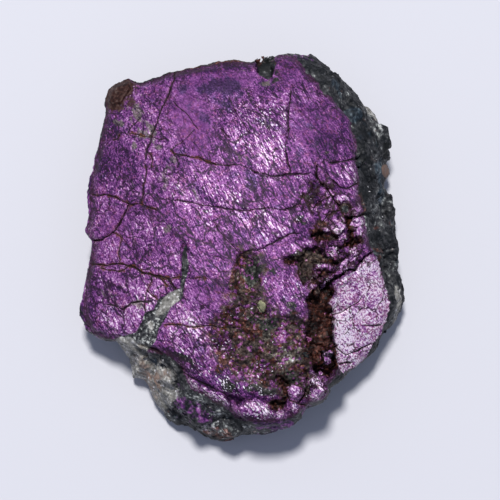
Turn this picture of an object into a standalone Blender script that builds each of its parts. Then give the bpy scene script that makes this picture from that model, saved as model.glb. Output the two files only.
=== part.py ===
"""Purpurite: one broken lump of the mineral, a purple cleaved face on dark, weathered rock.

The stone lies on a flat spot of its underside. +Z is up, +Y runs along the longest side of the face, and
the origin is at the middle of the stone's box, at the level that it rests on. All shapes are written in
millimetres, and the finished mesh is brought to metres at the end.
"""

import bpy
import bmesh
import numpy as np
from mathutils import Matrix

# Driving dimensions, in millimetres
WIDTH = 26.3
LENGTH = 31.2
HEIGHT = 10.5

# The gentle dome of the cleaved face: its top, and how far it drops over each reach from it
DOME_TOP = (2.0, 0.5, 10.2)
DOME_REACH = (15.0, 16.0)
DOME_DROP = (4.8, 3.2)
RIM_DROP = 0.35
RIM_WIDTH = 0.6

# Lumps of the face and of the rock, as height and size, and how ragged the edges of the hollows are
FACE_SWELL = [(0.22, 5.0), (0.12, 2.2)]
FACE_GRAIN = (0.07, 0.8)
ROCK_LUMPS = [(0.25, 2.6), (0.15, 1.1)]
RAGGED = (0.16, 0.9)
PITS = (0.45, 0.9)

# The broken facets of the flanks and the underside
FACET_COUNT = 230
FACET_SLOPE = 0.36
FACET_BLEND = 0.9

# How finely the stone is lofted, carved and faceted
SPOKES = 540
FACE_RINGS = 84
FLANK_RINGS = 22
UNDER_RINGS = 22
BASE_RINGS = 16
GRAIN = 0.25
TRIANGLES = 9400

# The base of the loft, a little under the level at which it is cut flat
FOOT_LEVEL = -0.2

# The edge of the cleaved face, seen from above, anticlockwise from the right: x, y
FACE_RIM = [
    (10.0, -0.5), (9.7, 0.5), (9.4, 2.2), (9.05, 3.6), (8.95, 6.0), (9.0, 7.9), (8.65, 9.0), (8.6, 9.9),
    (7.3, 11.1), (6.65, 11.7), (6.1, 11.9), (5.85, 12.75), (5.0, 13.45), (4.1, 14.9), (3.2, 15.1),
    (1.4, 14.8), (0.5, 14.3), (-1.0, 14.4), (-2.3, 14.3), (-3.9, 13.95), (-5.0, 13.8), (-6.4, 13.5),
    (-7.5, 13.1), (-8.65, 12.85), (-9.5, 13.4), (-10.7, 13.0), (-11.15, 12.6), (-11.4, 11.7),
    (-11.25, 10.5), (-11.65, 8.3), (-12.1, 6.4), (-12.5, 3.8), (-12.4, 2.4), (-12.7, 0.95),
    (-12.15, 0.1), (-12.15, -0.5), (-12.4, -1.9), (-12.8, -4.4), (-12.85, -5.4), (-12.65, -6.4),
    (-12.35, -6.95), (-11.7, -7.4), (-10.9, -7.7), (-10.0, -7.75), (-9.4, -8.1), (-8.5, -8.6),
    (-7.2, -8.9), (-6.1, -9.1), (-5.0, -9.9), (-4.5, -10.9), (-4.1, -11.8), (-3.0, -12.25),
    (-2.0, -12.95), (-1.0, -13.4), (-0.4, -13.95), (0.5, -14.25), (2.8, -14.3), (3.6, -13.95),
    (4.15, -13.8), (4.7, -13.35), (5.3, -12.75), (6.4, -12.5), (6.9, -12.0), (6.7, -11.5),
    (7.3, -10.75), (8.1, -10.2), (9.4, -9.5), (10.0, -8.9), (10.5, -7.9), (11.15, -7.05),
    (11.6, -5.9), (11.85, -4.6), (11.65, -3.8), (11.1, -2.65), (10.75, -1.7), (10.4, -1.25),
]

# The widest line round the stone, in the same order: x, y, height
WIDEST = [
    (12.9, 0.0, 1.6), (12.6, 2.2, 1.6), (12.3, 4.0, 1.8), (11.75, 5.2, 2.0), (11.75, 5.8, 2.0),
    (12.2, 6.4, 2.2), (12.2, 6.9, 2.2), (12.0, 7.25, 2.4), (12.2, 7.8, 2.5), (12.0, 8.9, 2.5),
    (11.3, 10.6, 2.6), (10.6, 11.5, 2.8), (9.7, 12.3, 3.2), (9.35, 12.9, 3.5), (8.4, 13.8, 4.0),
    (8.0, 14.2, 4.2), (7.4, 14.4, 4.4), (7.1, 14.8, 4.7), (6.3, 15.15, 5.0), (5.5, 15.5, 5.3),
    (4.2, 15.6, 5.6), (2.0, 15.35, 6.0), (1.3, 15.15, 6.2), (0.3, 14.6, 6.5), (-1.0, 14.7, 6.5),
    (-2.4, 14.6, 6.5), (-3.9, 14.2, 6.4), (-5.0, 14.1, 6.2), (-6.2, 13.8, 6.0), (-7.0, 13.45, 5.8),
    (-8.6, 13.05, 5.4), (-9.5, 13.6, 5.0), (-10.8, 13.1, 4.6), (-11.2, 12.8, 4.5), (-11.55, 11.8, 4.5),
    (-11.4, 10.5, 4.6), (-11.8, 8.3, 4.8), (-12.3, 6.4, 4.9), (-12.7, 3.7, 5.0), (-12.6, 2.4, 5.0),
    (-12.9, 0.9, 4.8), (-12.3, 0.1, 4.8), (-12.3, -0.5, 4.8), (-12.6, -1.9, 4.8), (-13.0, -4.4, 4.6),
    (-13.1, -5.3, 4.4), (-12.9, -6.4, 4.2), (-12.7, -7.0, 3.8), (-12.1, -7.35, 3.6),
    (-11.0, -7.8, 3.4), (-10.1, -7.8, 3.2), (-9.9, -8.2, 2.5), (-9.2, -8.9, 2.0), (-8.9, -9.6, 1.6),
    (-8.8, -10.5, 1.2), (-8.0, -10.7, 1.2), (-7.1, -11.95, 1.2), (-6.6, -12.9, 1.2),
    (-5.8, -13.95, 1.1), (-4.9, -14.35, 1.0), (-3.0, -15.1, 1.0), (-1.5, -15.6, 0.9),
    (-0.7, -15.5, 1.0), (0.1, -15.1, 1.5), (1.3, -15.0, 2.0), (3.2, -14.7, 2.2), (4.4, -14.2, 2.8),
    (5.2, -13.1, 4.2), (6.3, -12.75, 5.2), (7.0, -12.0, 5.6), (6.9, -11.5, 5.4), (8.2, -10.7, 4.2),
    (8.8, -10.1, 4.0), (10.5, -8.7, 3.8), (11.5, -7.5, 2.8), (12.2, -6.6, 2.6), (13.0, -5.0, 2.5),
    (13.2, -4.0, 2.6), (13.1, -3.0, 2.4), (12.9, -1.2, 1.8),
]

# The line where the underside meets the surface that it lies on: x, y
FOOT = [
    (5.4, -1.4), (5.3, 2.0), (4.2, 5.2), (1.8, 7.0), (-1.4, 7.3), (-4.1, 5.6), (-5.6, 2.6),
    (-5.6, -1.0), (-5.0, -4.4), (-3.4, -7.0), (-0.6, -8.1), (2.2, -7.4), (4.4, -4.8),
]

# How hollow the underside is between the widest line and the foot: bearing in degrees, share
HOLLOWNESS = [(0, 0.3), (45, 0.25), (90, 0.45), (140, 0.6), (200, 0.7), (222, 0.8), (245, 0.35),
              (280, 0.3), (297, 0.5), (320, 0.35)]

# The bright cleavage plate: its outline, a point that it passes through and its slopes along x and y
PLATE = [
    (6.65, -5.05), (7.0, -4.6), (7.4, -4.35), (7.1, -3.8), (7.65, -3.2), (8.3, -2.85), (8.9, -2.5),
    (9.5, -1.6), (10.4, -1.1), (11.1, -1.4), (12.4, -3.5), (12.4, -6.0), (11.0, -9.0), (8.6, -10.9),
    (7.7, -10.0), (7.45, -9.2), (7.3, -8.1), (7.15, -6.9), (7.1, -5.9), (7.0, -5.3),
]
PLATE_POINT = (7.5, -4.0, 8.7)
PLATE_SLOPES = (-0.5, 0.45)

# Hollows sunk into the face: depth, width of the wall, outline
HOLLOWS = {
    "rusty field": (0.55, 1.3, [
        (-0.4, -1.5), (0.7, -1.5), (1.1, -3.2), (0.9, -4.6), (1.8, -6.0), (3.0, -6.6), (4.9, -6.4),
        (5.3, -10.0), (4.0, -11.4), (2.4, -11.6), (1.0, -11.2), (-0.3, -10.4), (-1.4, -9.0),
        (-2.4, -8.6), (-1.2, -7.6), (-2.0, -6.6), (-1.2, -5.8), (-0.1, -5.2), (-0.8, -4.2)]),
    "gully beside the plate": (2.3, 0.45, [
        (5.3, -4.1), (6.0, -3.7), (6.7, -3.5), (7.2, -4.3), (6.7, -5.0), (7.1, -5.6), (7.2, -7.4),
        (7.5, -9.0), (7.6, -9.9), (6.9, -10.7), (5.8, -10.4), (5.1, -9.2), (4.9, -8.0),
        (5.0, -7.0), (5.2, -5.9), (4.9, -5.0)]),
    "middle hollow": (1.5, 0.35, [
        (4.7, -1.0), (5.6, -0.9), (6.2, -1.2), (6.3, -1.9), (5.3, -2.3), (5.2, -3.2), (4.6, -3.7),
        (4.1, -3.0), (4.1, -2.4), (3.1, -2.2), (3.1, -1.7), (4.3, -1.6)]),
    "hole by the right rim": (0.9, 0.3, [
        (5.4, 0.0), (6.0, 0.35), (6.6, 0.2), (6.5, -0.2), (5.7, -0.3)]),
    "notch in the upper edge": (1.2, 0.35, [
        (0.8, 15.8), (1.0, 14.1), (1.2, 13.3), (1.9, 13.0), (2.3, 13.7), (2.4, 14.5), (2.8, 15.8)]),
    "dark inset of the lower left lobe": (0.5, 0.3, [
        (-12.6, -6.6), (-11.3, -7.1), (-10.3, -7.2), (-10.0, -7.8), (-11.0, -8.2), (-12.6, -7.6)]),
    "grey vein": (0.22, 0.3, [
        (-4.75, -0.2), (-4.55, -1.5), (-4.4, -2.5), (-4.65, -3.4), (-4.95, -4.9), (-5.85, -5.6),
        (-6.2, -6.4), (-6.75, -7.2), (-7.0, -8.2), (-8.0, -9.2), (-9.6, -9.0), (-10.0, -7.7),
        (-8.6, -7.4), (-8.1, -6.6), (-7.9, -5.9), (-7.2, -5.7), (-6.85, -5.0), (-6.0, -4.45),
        (-5.1, -4.1), (-5.0, -3.0), (-5.0, -1.5)]),
    "lower step": (0.75, 0.4, [
        (-5.2, -10.0), (-4.2, -10.5), (-3.0, -11.4), (-1.6, -12.1), (0.0, -12.4), (1.2, -12.3),
        (2.4, -12.5), (3.1, -11.9), (3.4, -11.1), (5.0, -10.6), (6.2, -10.4), (8.2, -10.9),
        (7.0, -14.0), (0.0, -15.5), (-5.0, -13.0)]),
}

# Lumps that stand on it: height, width of the wall, outline
LUMPS = {
    "purple crest": (0.75, 0.45, [
        (-4.6, -11.0), (-3.8, -11.3), (-2.9, -11.75), (-1.8, -12.1), (-1.1, -12.7), (-0.9, -13.2),
        (-2.0, -13.3), (-3.2, -12.6), (-4.6, -12.2)]),
    "bottom ledge": (0.7, 0.4, [
        (-0.6, -13.2), (0.3, -12.8), (1.0, -12.75), (1.7, -12.95), (2.1, -13.4), (2.7, -13.7),
        (3.5, -13.5), (3.5, -14.1), (2.8, -14.8), (0.4, -14.7), (-0.5, -14.1)]),
    "sliver by the ledge": (0.5, 0.25, [
        (3.7, -12.6), (4.1, -12.5), (4.9, -13.3), (4.4, -14.1), (3.9, -13.9)]),
    "left knob of the corner": (0.8, 0.35, [
        (3.5, -12.0), (3.9, -11.5), (4.7, -11.6), (5.1, -12.4), (4.5, -12.8), (3.9, -12.5)]),
    "right knob of the corner": (0.8, 0.35, [
        (5.2, -11.6), (5.6, -11.0), (6.5, -11.3), (7.2, -11.9), (6.6, -12.9), (5.5, -12.9)]),
    "brown knob": (0.3, 0.5, [
        (-11.9, 13.5), (-11.5, 11.6), (-10.2, 11.4), (-9.5, 12.4), (-9.3, 14.0)]),
}

# Cracks and gaps: depth, half width, path
CRACKS = {
    "long upper crack": (0.4, 0.16, [
        (-5.8, 13.9), (-5.85, 13.0), (-6.3, 11.5), (-7.0, 9.85), (-7.45, 8.6), (-7.95, 7.05),
        (-8.0, 5.3), (-8.15, 3.9), (-8.35, 2.7)]),
    "left crack": (0.35, 0.16, [
        (-12.6, 3.9), (-11.6, 3.6), (-10.9, 3.6), (-9.65, 2.95), (-8.95, 2.7), (-7.8, 2.4)]),
    "left notch crack": (0.65, 0.22, [
        (-9.35, 2.8), (-9.85, 1.6), (-10.3, 0.85), (-11.2, 0.2), (-12.9, 0.0)]),
    "rusty crack": (0.35, 0.16, [
        (-12.8, -1.6), (-11.5, -1.95), (-9.75, -2.0), (-8.8, -2.3), (-8.1, -2.8), (-6.9, -3.05),
        (-5.0, -3.25), (-3.2, -3.35)]),
    "upper step": (0.22, 0.15, [
        (-6.0, 6.95), (-5.4, 6.55), (-3.9, 6.3), (-2.8, 5.75), (-1.0, 5.7), (0.6, 5.0), (2.6, 4.7),
        (4.9, 5.0)]),
    "middle crack": (0.2, 0.15, [
        (-5.6, 2.8), (-4.0, 2.65), (-2.6, 2.3), (-1.4, 2.2), (0.1, 2.0), (1.4, 2.2), (4.0, 2.2)]),
    "vertical crack": (0.3, 0.16, [
        (3.65, 12.2), (3.5, 10.6), (3.35, 8.1), (3.15, 7.1), (3.3, 5.8), (3.7, 5.0)]),
    "crack into the hollow": (0.25, 0.16, [
        (0.65, -1.2), (1.7, -0.9), (2.75, -0.3), (3.6, 0.2), (4.3, 0.3)]),
    "dark step of the lobe": (0.3, 0.16, [
        (-10.9, -5.15), (-9.7, -5.5), (-8.9, -5.05), (-7.3, -5.0)]),
    "gap above the plate": (1.3, 0.22, [
        (10.3, -0.9), (9.5, -1.4), (8.9, -2.35), (8.0, -2.6), (7.3, -3.2), (6.6, -3.7)]),
    "gap by the right rim": (0.8, 0.2, [
        (9.9, 2.3), (9.0, 1.75), (8.0, 1.6), (8.3, 0.7), (8.6, 0.0), (7.6, -0.8), (6.6, -0.7)]),
    "branch to the right rim": (0.6, 0.22, [
        (5.7, 5.8), (5.8, 4.6), (6.3, 3.7), (6.9, 3.1), (7.5, 2.5), (8.0, 1.6)]),
    "block joint": (0.35, 0.16, [(6.3, 5.4), (6.9, 4.6), (7.5, 4.1), (8.1, 3.95), (9.2, 4.5)]),
    "upper right joint": (0.3, 0.16, [(5.9, 6.0), (7.4, 6.1), (9.1, 6.4)]),
    "plate crack": (0.25, 0.14, [(7.0, -6.0), (8.0, -5.8), (8.6, -5.5), (9.4, -4.9)]),
    "plate corner crack": (0.25, 0.14, [(7.3, -8.3), (8.3, -8.9), (9.3, -8.6), (10.3, -8.1)]),
    "valley behind the crest": (0.5, 0.3, [
        (-4.9, -10.2), (-3.9, -10.9), (-2.3, -11.7), (-0.9, -12.4), (0.2, -12.6)]),
    "dark band under the lobe": (0.7, 0.45, [
        (-8.3, -8.3), (-7.1, -8.7), (-5.9, -9.5), (-4.9, -10.3)]),
}

COLOURS = {
    "cleaved purple": ((0.19, 0.055, 0.22), 0.42, 0.25),
    "weathered matrix": ((0.045, 0.05, 0.05), 0.7, 0.0),
}


def clear_scene():
    for old in list(bpy.data.objects):
        bpy.data.objects.remove(old, do_unlink=True)


def mix(a, b, share):
    return a + (b - a) * share


def smooth(value):
    """A rise from 0 to 1 with level ends."""
    t = np.clip(value, 0, 1)
    return t * t * (3 - 2 * t)


def distance_to(x, y, path, closed=False):
    """How far each point lies from a path through the given points."""
    corners = np.array(path + path[:1] if closed else path, float)
    nearest = np.full(np.shape(x), np.inf)
    for (ax, ay), (bx, by) in zip(corners[:-1], corners[1:]):
        dx, dy = bx - ax, by - ay
        along = np.clip(((x - ax) * dx + (y - ay) * dy) / (dx * dx + dy * dy), 0, 1)
        nearest = np.minimum(nearest, np.hypot(x - ax - along * dx, y - ay - along * dy))
    return nearest


def within(x, y, outline):
    """Distance to an outline: above zero inside it, below zero outside."""
    inside = np.zeros(np.shape(x), bool)
    for (ax, ay), (bx, by) in zip(outline, outline[1:] + outline[:1]):
        if ay != by:
            inside ^= ((ay > y) != (by > y)) & (x < (bx - ax) * (y - ay) / (by - ay) + ax)
    return np.where(inside, 1, -1) * distance_to(x, y, outline, closed=True)


def lattice(i, j, k, seed):
    """A repeatable number from -1 to 1 for each whole-number place."""
    h = (i * 374761393 + j * 668265263 + k * 1442695041 + seed * 974634777) & 0xFFFFFFFF
    h = ((h ^ (h >> 13)) * 1274126177) & 0xFFFFFFFF
    return ((h ^ (h >> 16)) & 0xFFFF) / 32767.5 - 1


def noise(points, size, seed):
    """Smooth noise from -1 to 1 whose lumps are about this size."""
    turned = points @ np.array([(0.8, 0.48, -0.36), (-0.6, 0.64, -0.48), (0, 0.6, 0.8)])
    base = np.floor(turned / size).astype(np.int64)
    part = smooth(turned / size - base)
    total = 0
    for corner in range(8):
        step = np.array([corner & 1, corner >> 1 & 1, corner >> 2])
        weight = np.prod(np.where(step, part, 1 - part), axis=1)
        total = total + weight * lattice(*(base + step).T, seed)
    return total


def lumps(points, sizes, seed):
    """Noise of several sizes, each given as its height and its size."""
    return sum(height * noise(points, size, seed + k) for k, (height, size) in enumerate(sizes))


def dome(x, y):
    """Height of the cleaved face before its steps, hollows and cracks: flatter towards the left."""
    across = (x - DOME_TOP[0]) / DOME_REACH[0]
    along = (y - DOME_TOP[1]) / DOME_REACH[1]
    bend = np.where(across < 0, 2.2, 2.0)
    return DOME_TOP[2] - DOME_DROP[0] * np.abs(across) ** bend - DOME_DROP[1] * along ** 2


def face_height(x, y):
    """Height of the cleaved face, with all that is sunk into it and stands on it."""
    flat = np.stack([x, y, 0 * x], axis=-1)
    swell = lumps(flat, FACE_SWELL, 1)
    px, py, pz = PLATE_POINT
    slab = pz + PLATE_SLOPES[0] * (x - px) + PLATE_SLOPES[1] * (y - py) + 0.2 * swell
    z = mix(dome(x, y) + swell, slab, smooth(0.5 + within(x, y, PLATE) / 0.5))
    ragged = lumps(flat, [RAGGED], 3)
    for depth, wall, outline in HOLLOWS.values():
        z = z - depth * smooth(0.5 + (within(x, y, outline) + ragged) / wall)
    for height, wall, outline in LUMPS.values():
        z = z + height * smooth(0.5 + (within(x, y, outline) + ragged) / wall)
    for depth, half_width, path in CRACKS.values():
        z = z - depth * smooth(1 - distance_to(x, y, path) / (2 * half_width))
    return z


def spoke(outline, bearings):
    """Distance from the middle, and height if the outline has one, along each bearing."""
    points = np.array(outline, float)
    angle = np.arctan2(points[:, 1], points[:, 0])
    values = [np.hypot(points[:, 0], points[:, 1])] + list(points[:, 2:].T)
    return [np.interp(bearings, angle, value, period=2 * np.pi) for value in values]


def lofted_rings():
    """Rings of points from the middle of the face, over the rim and the widest line, to the base."""
    bearings = np.linspace(-np.pi, np.pi, SPOKES, endpoint=False)
    cos, sin = np.cos(bearings), np.sin(bearings)
    wide, wide_z = spoke(WIDEST, bearings)
    rim = np.minimum(spoke(FACE_RIM, bearings)[0], wide - 0.12)
    foot = spoke(FOOT, bearings)[0]
    hollow = np.interp(np.degrees(bearings) % 360, *np.array(HOLLOWNESS).T, period=360)
    rings = []
    for share in np.linspace(0, 1, FACE_RINGS + 1)[1:]:
        x, y = rim * share * cos, rim * share * sin
        roll = RIM_DROP * smooth(1 - rim * (1 - share) / RIM_WIDTH)
        rings.append((x, y, face_height(x, y) - roll))
    rim_z = rings[-1][2]
    for share in np.linspace(0, 1, FLANK_RINGS + 1)[1:]:
        out = mix(share, np.sin(share * np.pi / 2), 0.5)
        down = mix(share, 1 - np.cos(share * np.pi / 2), 0.5)
        r = mix(rim, wide, out)
        rings.append((r * cos, r * sin, mix(rim_z, wide_z, down)))
    for share in np.linspace(0, 1, UNDER_RINGS + 1)[1:]:
        late, early = 1 - np.cos(share * np.pi / 2), np.sin(share * np.pi / 2)
        r = mix(wide, foot, mix(late, early, hollow))
        rings.append((r * cos, r * sin, mix(wide_z, FOOT_LEVEL, mix(early, late, hollow))))
    for share in np.linspace(1, 0, BASE_RINGS + 1)[1:-1]:
        rings.append((foot * share * cos, foot * share * sin, np.full(SPOKES, FOOT_LEVEL)))
    return rings


def lofted_mesh():
    """A closed mesh over the rings, with a point at the middle of the face and of the base."""
    rings = lofted_rings()
    points = [(0, 0, float(face_height(np.zeros(1), np.zeros(1))[0])), (0, 0, FOOT_LEVEL)]
    points += [tuple(p) for ring in rings for p in np.stack(ring, axis=1)]
    faces = []
    last = 2 + (len(rings) - 1) * SPOKES
    for i in range(SPOKES):
        j = (i + 1) % SPOKES
        faces.append((0, 2 + i, 2 + j))
        faces.append((1, last + j, last + i))
        for row in range(2, last, SPOKES):
            faces.append((row + i, row + SPOKES + i, row + SPOKES + j, row + j))
    mesh = bpy.data.meshes.new("loft")
    mesh.from_pydata(points, [], faces)
    return mesh


def applied(obj, kind, **settings):
    """Puts one modifier on the object and replaces its mesh with the result."""
    modifier = obj.modifiers.new(kind, kind)
    for name, value in settings.items():
        setattr(modifier, name, value)
    graph = bpy.context.evaluated_depsgraph_get()
    mesh = bpy.data.meshes.new_from_object(obj.evaluated_get(graph))
    obj.modifiers.clear()
    obj.data = mesh


def arrays(mesh):
    """The mesh's points and the directions in which its surface faces there."""
    points = np.empty(len(mesh.vertices) * 3, np.float32)
    mesh.vertices.foreach_get("co", points)
    normals = np.empty(len(mesh.vertices) * 3, np.float32)
    mesh.vertices.foreach_get("normal", normals)
    return points.reshape(-1, 3).astype(float), normals.reshape(-1, 3).astype(float)


def move_points(mesh, points):
    mesh.vertices.foreach_set("co", points.astype(np.float32).ravel())
    mesh.update()


def rock_share(points, normals):
    """1 on the flanks and the underside, 0 on the cleaved face."""
    x, y, z = points.T
    rim = spoke(FACE_RIM, np.arctan2(y, x))[0]
    over = smooth((np.hypot(x, y) - rim + 0.3) / 0.8)
    below = smooth((dome(x, y) - 3.4 - z) / 1.0)
    return np.maximum.reduce([over, below, smooth(-3 * normals[:, 2])])


def free_share(points):
    """How far the rock may be moved: less at its widest line, which keeps its outline, and not at its base."""
    x, y, z = points.T
    wide = spoke(WIDEST, np.arctan2(y, x))[0]
    edge = 1 - 0.6 * smooth(1 - np.abs(wide - np.hypot(x, y)) / 0.9)
    return edge * smooth((z - FOOT_LEVEL - 0.1) / 1.1)


def facet_planes(points, normals):
    """Scattered places on the flanks and the underside, each with the slope of the facet round it."""
    rng = np.random.default_rng(7)
    first = 2 + (FACE_RINGS + 2) * SPOKES
    last = len(points) - (BASE_RINGS + 1) * SPOKES
    seeds = rng.integers(first, last, FACET_COUNT)
    slopes = rng.normal(0, FACET_SLOPE, (FACET_COUNT, 3))
    slopes -= normals[seeds] * (slopes * normals[seeds]).sum(axis=1, keepdims=True)
    return points[seeds], slopes


def faceted(points, normals, share, places, slopes):
    """Broken facets: round each place the rock is tilted by its slope, up to where the next one is nearer."""
    lift = np.zeros(len(points))
    weights = np.full(len(points), 1e-9)
    for place, slope in zip(places, slopes):
        offset = points - place
        weight = np.exp(-(offset ** 2).sum(axis=1) / FACET_BLEND ** 2)
        lift += weight * np.clip(offset @ slope, -1, 1)
        weights += weight
    return points + normals * (share * lift / weights)[:, None]


def roughened(points, normals, share):
    """Lumps and grit: strong on the broken rock, faint on the cleaved face, with pits in its rusty field."""
    rusty = smooth(0.5 + within(points[:, 0], points[:, 1], HOLLOWS["rusty field"][2]) / 1.5)
    upward = smooth(2 * normals[:, 2])
    pits = PITS[0] * smooth(2.2 * noise(points, PITS[1], 14) - 0.3) * rusty * upward
    face = lumps(points, [FACE_GRAIN], 13) - pits
    lift = mix(face, lumps(points, ROCK_LUMPS, 11), share)
    return points + normals * lift[:, None]


def cut_flat(mesh):
    """Slices the underside at the level that the stone rests on and closes the cut."""
    stone = bmesh.new()
    stone.from_mesh(mesh)
    whole = stone.verts[:] + stone.edges[:] + stone.faces[:]
    cut = bmesh.ops.bisect_plane(stone, geom=whole, plane_co=(0, 0, 0), plane_no=(0, 0, 1), clear_inner=True)
    edges = [e for e in cut["geom_cut"] if isinstance(e, bmesh.types.BMEdge)]
    bmesh.ops.holes_fill(stone, edges=edges, sides=0)
    bmesh.ops.triangulate(stone, faces=stone.faces[:])
    stone.to_mesh(mesh)
    stone.free()


def fit_to_size(mesh):
    """Scales the stone to its driving dimensions, with the origin under the middle of its box."""
    points = arrays(mesh)[0]
    low, high = points.min(axis=0), points.max(axis=0)
    low[2] = 0
    size = np.array((WIDTH, LENGTH, HEIGHT))
    middle = np.array(((low[0] + high[0]) / 2, (low[1] + high[1]) / 2, 0))
    move_points(mesh, (points - middle) * size / (high - low))


def material(name):
    colour, roughness, metallic = COLOURS[name]
    made = bpy.data.materials.new(name)
    made.use_nodes = True
    made.diffuse_color = (*colour, 1)
    shader = made.node_tree.nodes["Principled BSDF"]
    shader.inputs["Base Color"].default_value = (*colour, 1)
    shader.inputs["Roughness"].default_value = roughness
    shader.inputs["Metallic"].default_value = metallic
    return made


def paint(mesh):
    """The purple on the cleaved face and the dark matrix on every other side."""
    mesh.materials.clear()
    for name in COLOURS:
        mesh.materials.append(material(name))
    middles = 1000 * np.array([face.center for face in mesh.polygons])
    facing = np.array([face.normal for face in mesh.polygons])
    for face, dark in zip(mesh.polygons, rock_share(middles, facing) > 0.5):
        face.material_index = int(dark)


def build_stone():
    collection = bpy.data.collections.new("Purpurite specimen")
    bpy.context.scene.collection.children.link(collection)
    stone = bpy.data.objects.new("purpurite", lofted_mesh())
    collection.objects.link(stone)
    planes = facet_planes(*arrays(stone.data))
    applied(stone, "REMESH", mode="VOXEL", voxel_size=GRAIN)
    points, normals = arrays(stone.data)
    share = rock_share(points, normals) * free_share(points)
    move_points(stone.data, faceted(points, normals, share, *planes))
    points, normals = arrays(stone.data)
    move_points(stone.data, roughened(points, normals, share))
    applied(stone, "TRIANGULATE")
    applied(stone, "DECIMATE", ratio=TRIANGLES / len(stone.data.polygons))
    cut_flat(stone.data)
    fit_to_size(stone.data)
    stone.data.transform(Matrix.Scale(0.001, 4))
    paint(stone.data)
    stone.data.name = "purpurite"


clear_scene()
build_stone()
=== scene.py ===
"""Looks of the purpurite specimen: a fine stone surface in place of the faceted solid, and its colours.

Shapes are worked out in millimetres, in the frame of the part, and brought to metres at the end.
"""

import bpy
import bmesh
import numpy as np
from mathutils import Matrix, Vector


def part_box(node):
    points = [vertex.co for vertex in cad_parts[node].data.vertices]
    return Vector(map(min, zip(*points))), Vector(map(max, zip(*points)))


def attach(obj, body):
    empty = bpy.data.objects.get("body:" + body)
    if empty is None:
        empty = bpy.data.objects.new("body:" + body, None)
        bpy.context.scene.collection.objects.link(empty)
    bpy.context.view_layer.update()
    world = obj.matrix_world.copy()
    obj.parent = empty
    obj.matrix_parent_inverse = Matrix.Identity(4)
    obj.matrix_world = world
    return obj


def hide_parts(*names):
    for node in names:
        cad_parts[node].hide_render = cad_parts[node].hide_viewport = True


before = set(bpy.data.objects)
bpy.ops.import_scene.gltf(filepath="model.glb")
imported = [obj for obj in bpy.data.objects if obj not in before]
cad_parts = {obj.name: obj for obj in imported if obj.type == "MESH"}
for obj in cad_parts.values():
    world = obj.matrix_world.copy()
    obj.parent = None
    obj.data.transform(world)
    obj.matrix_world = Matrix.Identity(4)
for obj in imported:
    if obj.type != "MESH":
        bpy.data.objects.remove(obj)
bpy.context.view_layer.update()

# The gentle dome of the cleaved face: its top, how far it drops over each reach from it, and the powers of
# that drop to the left and to the right
DOME_TOP = (2.0, 0.5, 10.2)
DOME_REACH = (15.0, 16.0)
DOME_DROP = (4.8, 3.2)
DOME_BENDS = (2.2, 2.0)

# How far the face rolls down at its edge and over what width, and the least width of the flank in plan
RIM_DROP = 0.35
RIM_WIDTH = 0.6
FLANK_WIDTH = 0.12

# Where the rock begins: how deep below the dome, and how far inside the edge of the face and over what width
ROCK_DEPTH = 3.4
ROCK_EDGE = (0.3, 0.8)

# Lumps of the face and of the rock, as height and size
FACE_SWELL = [(0.22, 5.0), (0.12, 2.2)]
FACE_GRAIN = (0.07, 0.8)
ROCK_LUMPS = [(0.25, 2.6), (0.12, 1.1)]
GRIT = [(0.05, 0.45), (0.03, 0.2)]

# Broken grains, as height and size: on the rock, in the rusty field, in the hollows, in the broken ground
ROCK_BLOCKS = [(0.12, 1.1), (0.07, 0.45)]
RUSTY_BLOCKS = [(0.16, 0.65), (0.09, 0.3)]
HOLLOW_BLOCKS = [(0.28, 0.8), (0.14, 0.38)]
BROKEN_BLOCKS = [(0.26, 0.65), (0.1, 0.33)]
BLOCK_TILT = 1.4

# Ridges along the streaks of the face: height, size across, size along and their two bearings
STREAK_RIDGES = (0.028, 0.16, 1.3)
STREAK_TURNS = (-58, -66)

# How edges, patches and cracks wander, as height and size. How much a crack swells and over what length, how
# far the ground steps at it and over what reach, and what counts as the nearest crack where there is none:
# distance, side, depth, half width, rust
RAGGED = [(0.2, 0.85)]
EDGE_CRUMBS = [(0.15, 0.42), (0.08, 0.2)]
PATCH_WANDER = [(0.35, 1.3), (0.15, 0.5)]
CRACK_WANDER = [(0.07, 0.6), (0.04, 0.25)]
CRACK_SWELL = (0.45, 0.9)
CRACK_TILT = (0.03, 0.35)
NO_CRACK = (9, 1, 0, 0.05, 0)

# The broken facets of the flanks and the underside
FACET_COUNT = 230
FACET_SLOPE = 0.36
FACET_BLEND = 0.9

# How finely the stone is lofted, carved and reduced
SPOKES = 540
FACE_RINGS = 84
FLANK_RINGS = 22
UNDER_RINGS = 22
BASE_RINGS = 16
GRAIN = 0.095
TRIANGLES = 196000
FOOT_LEVEL = -0.2

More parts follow.
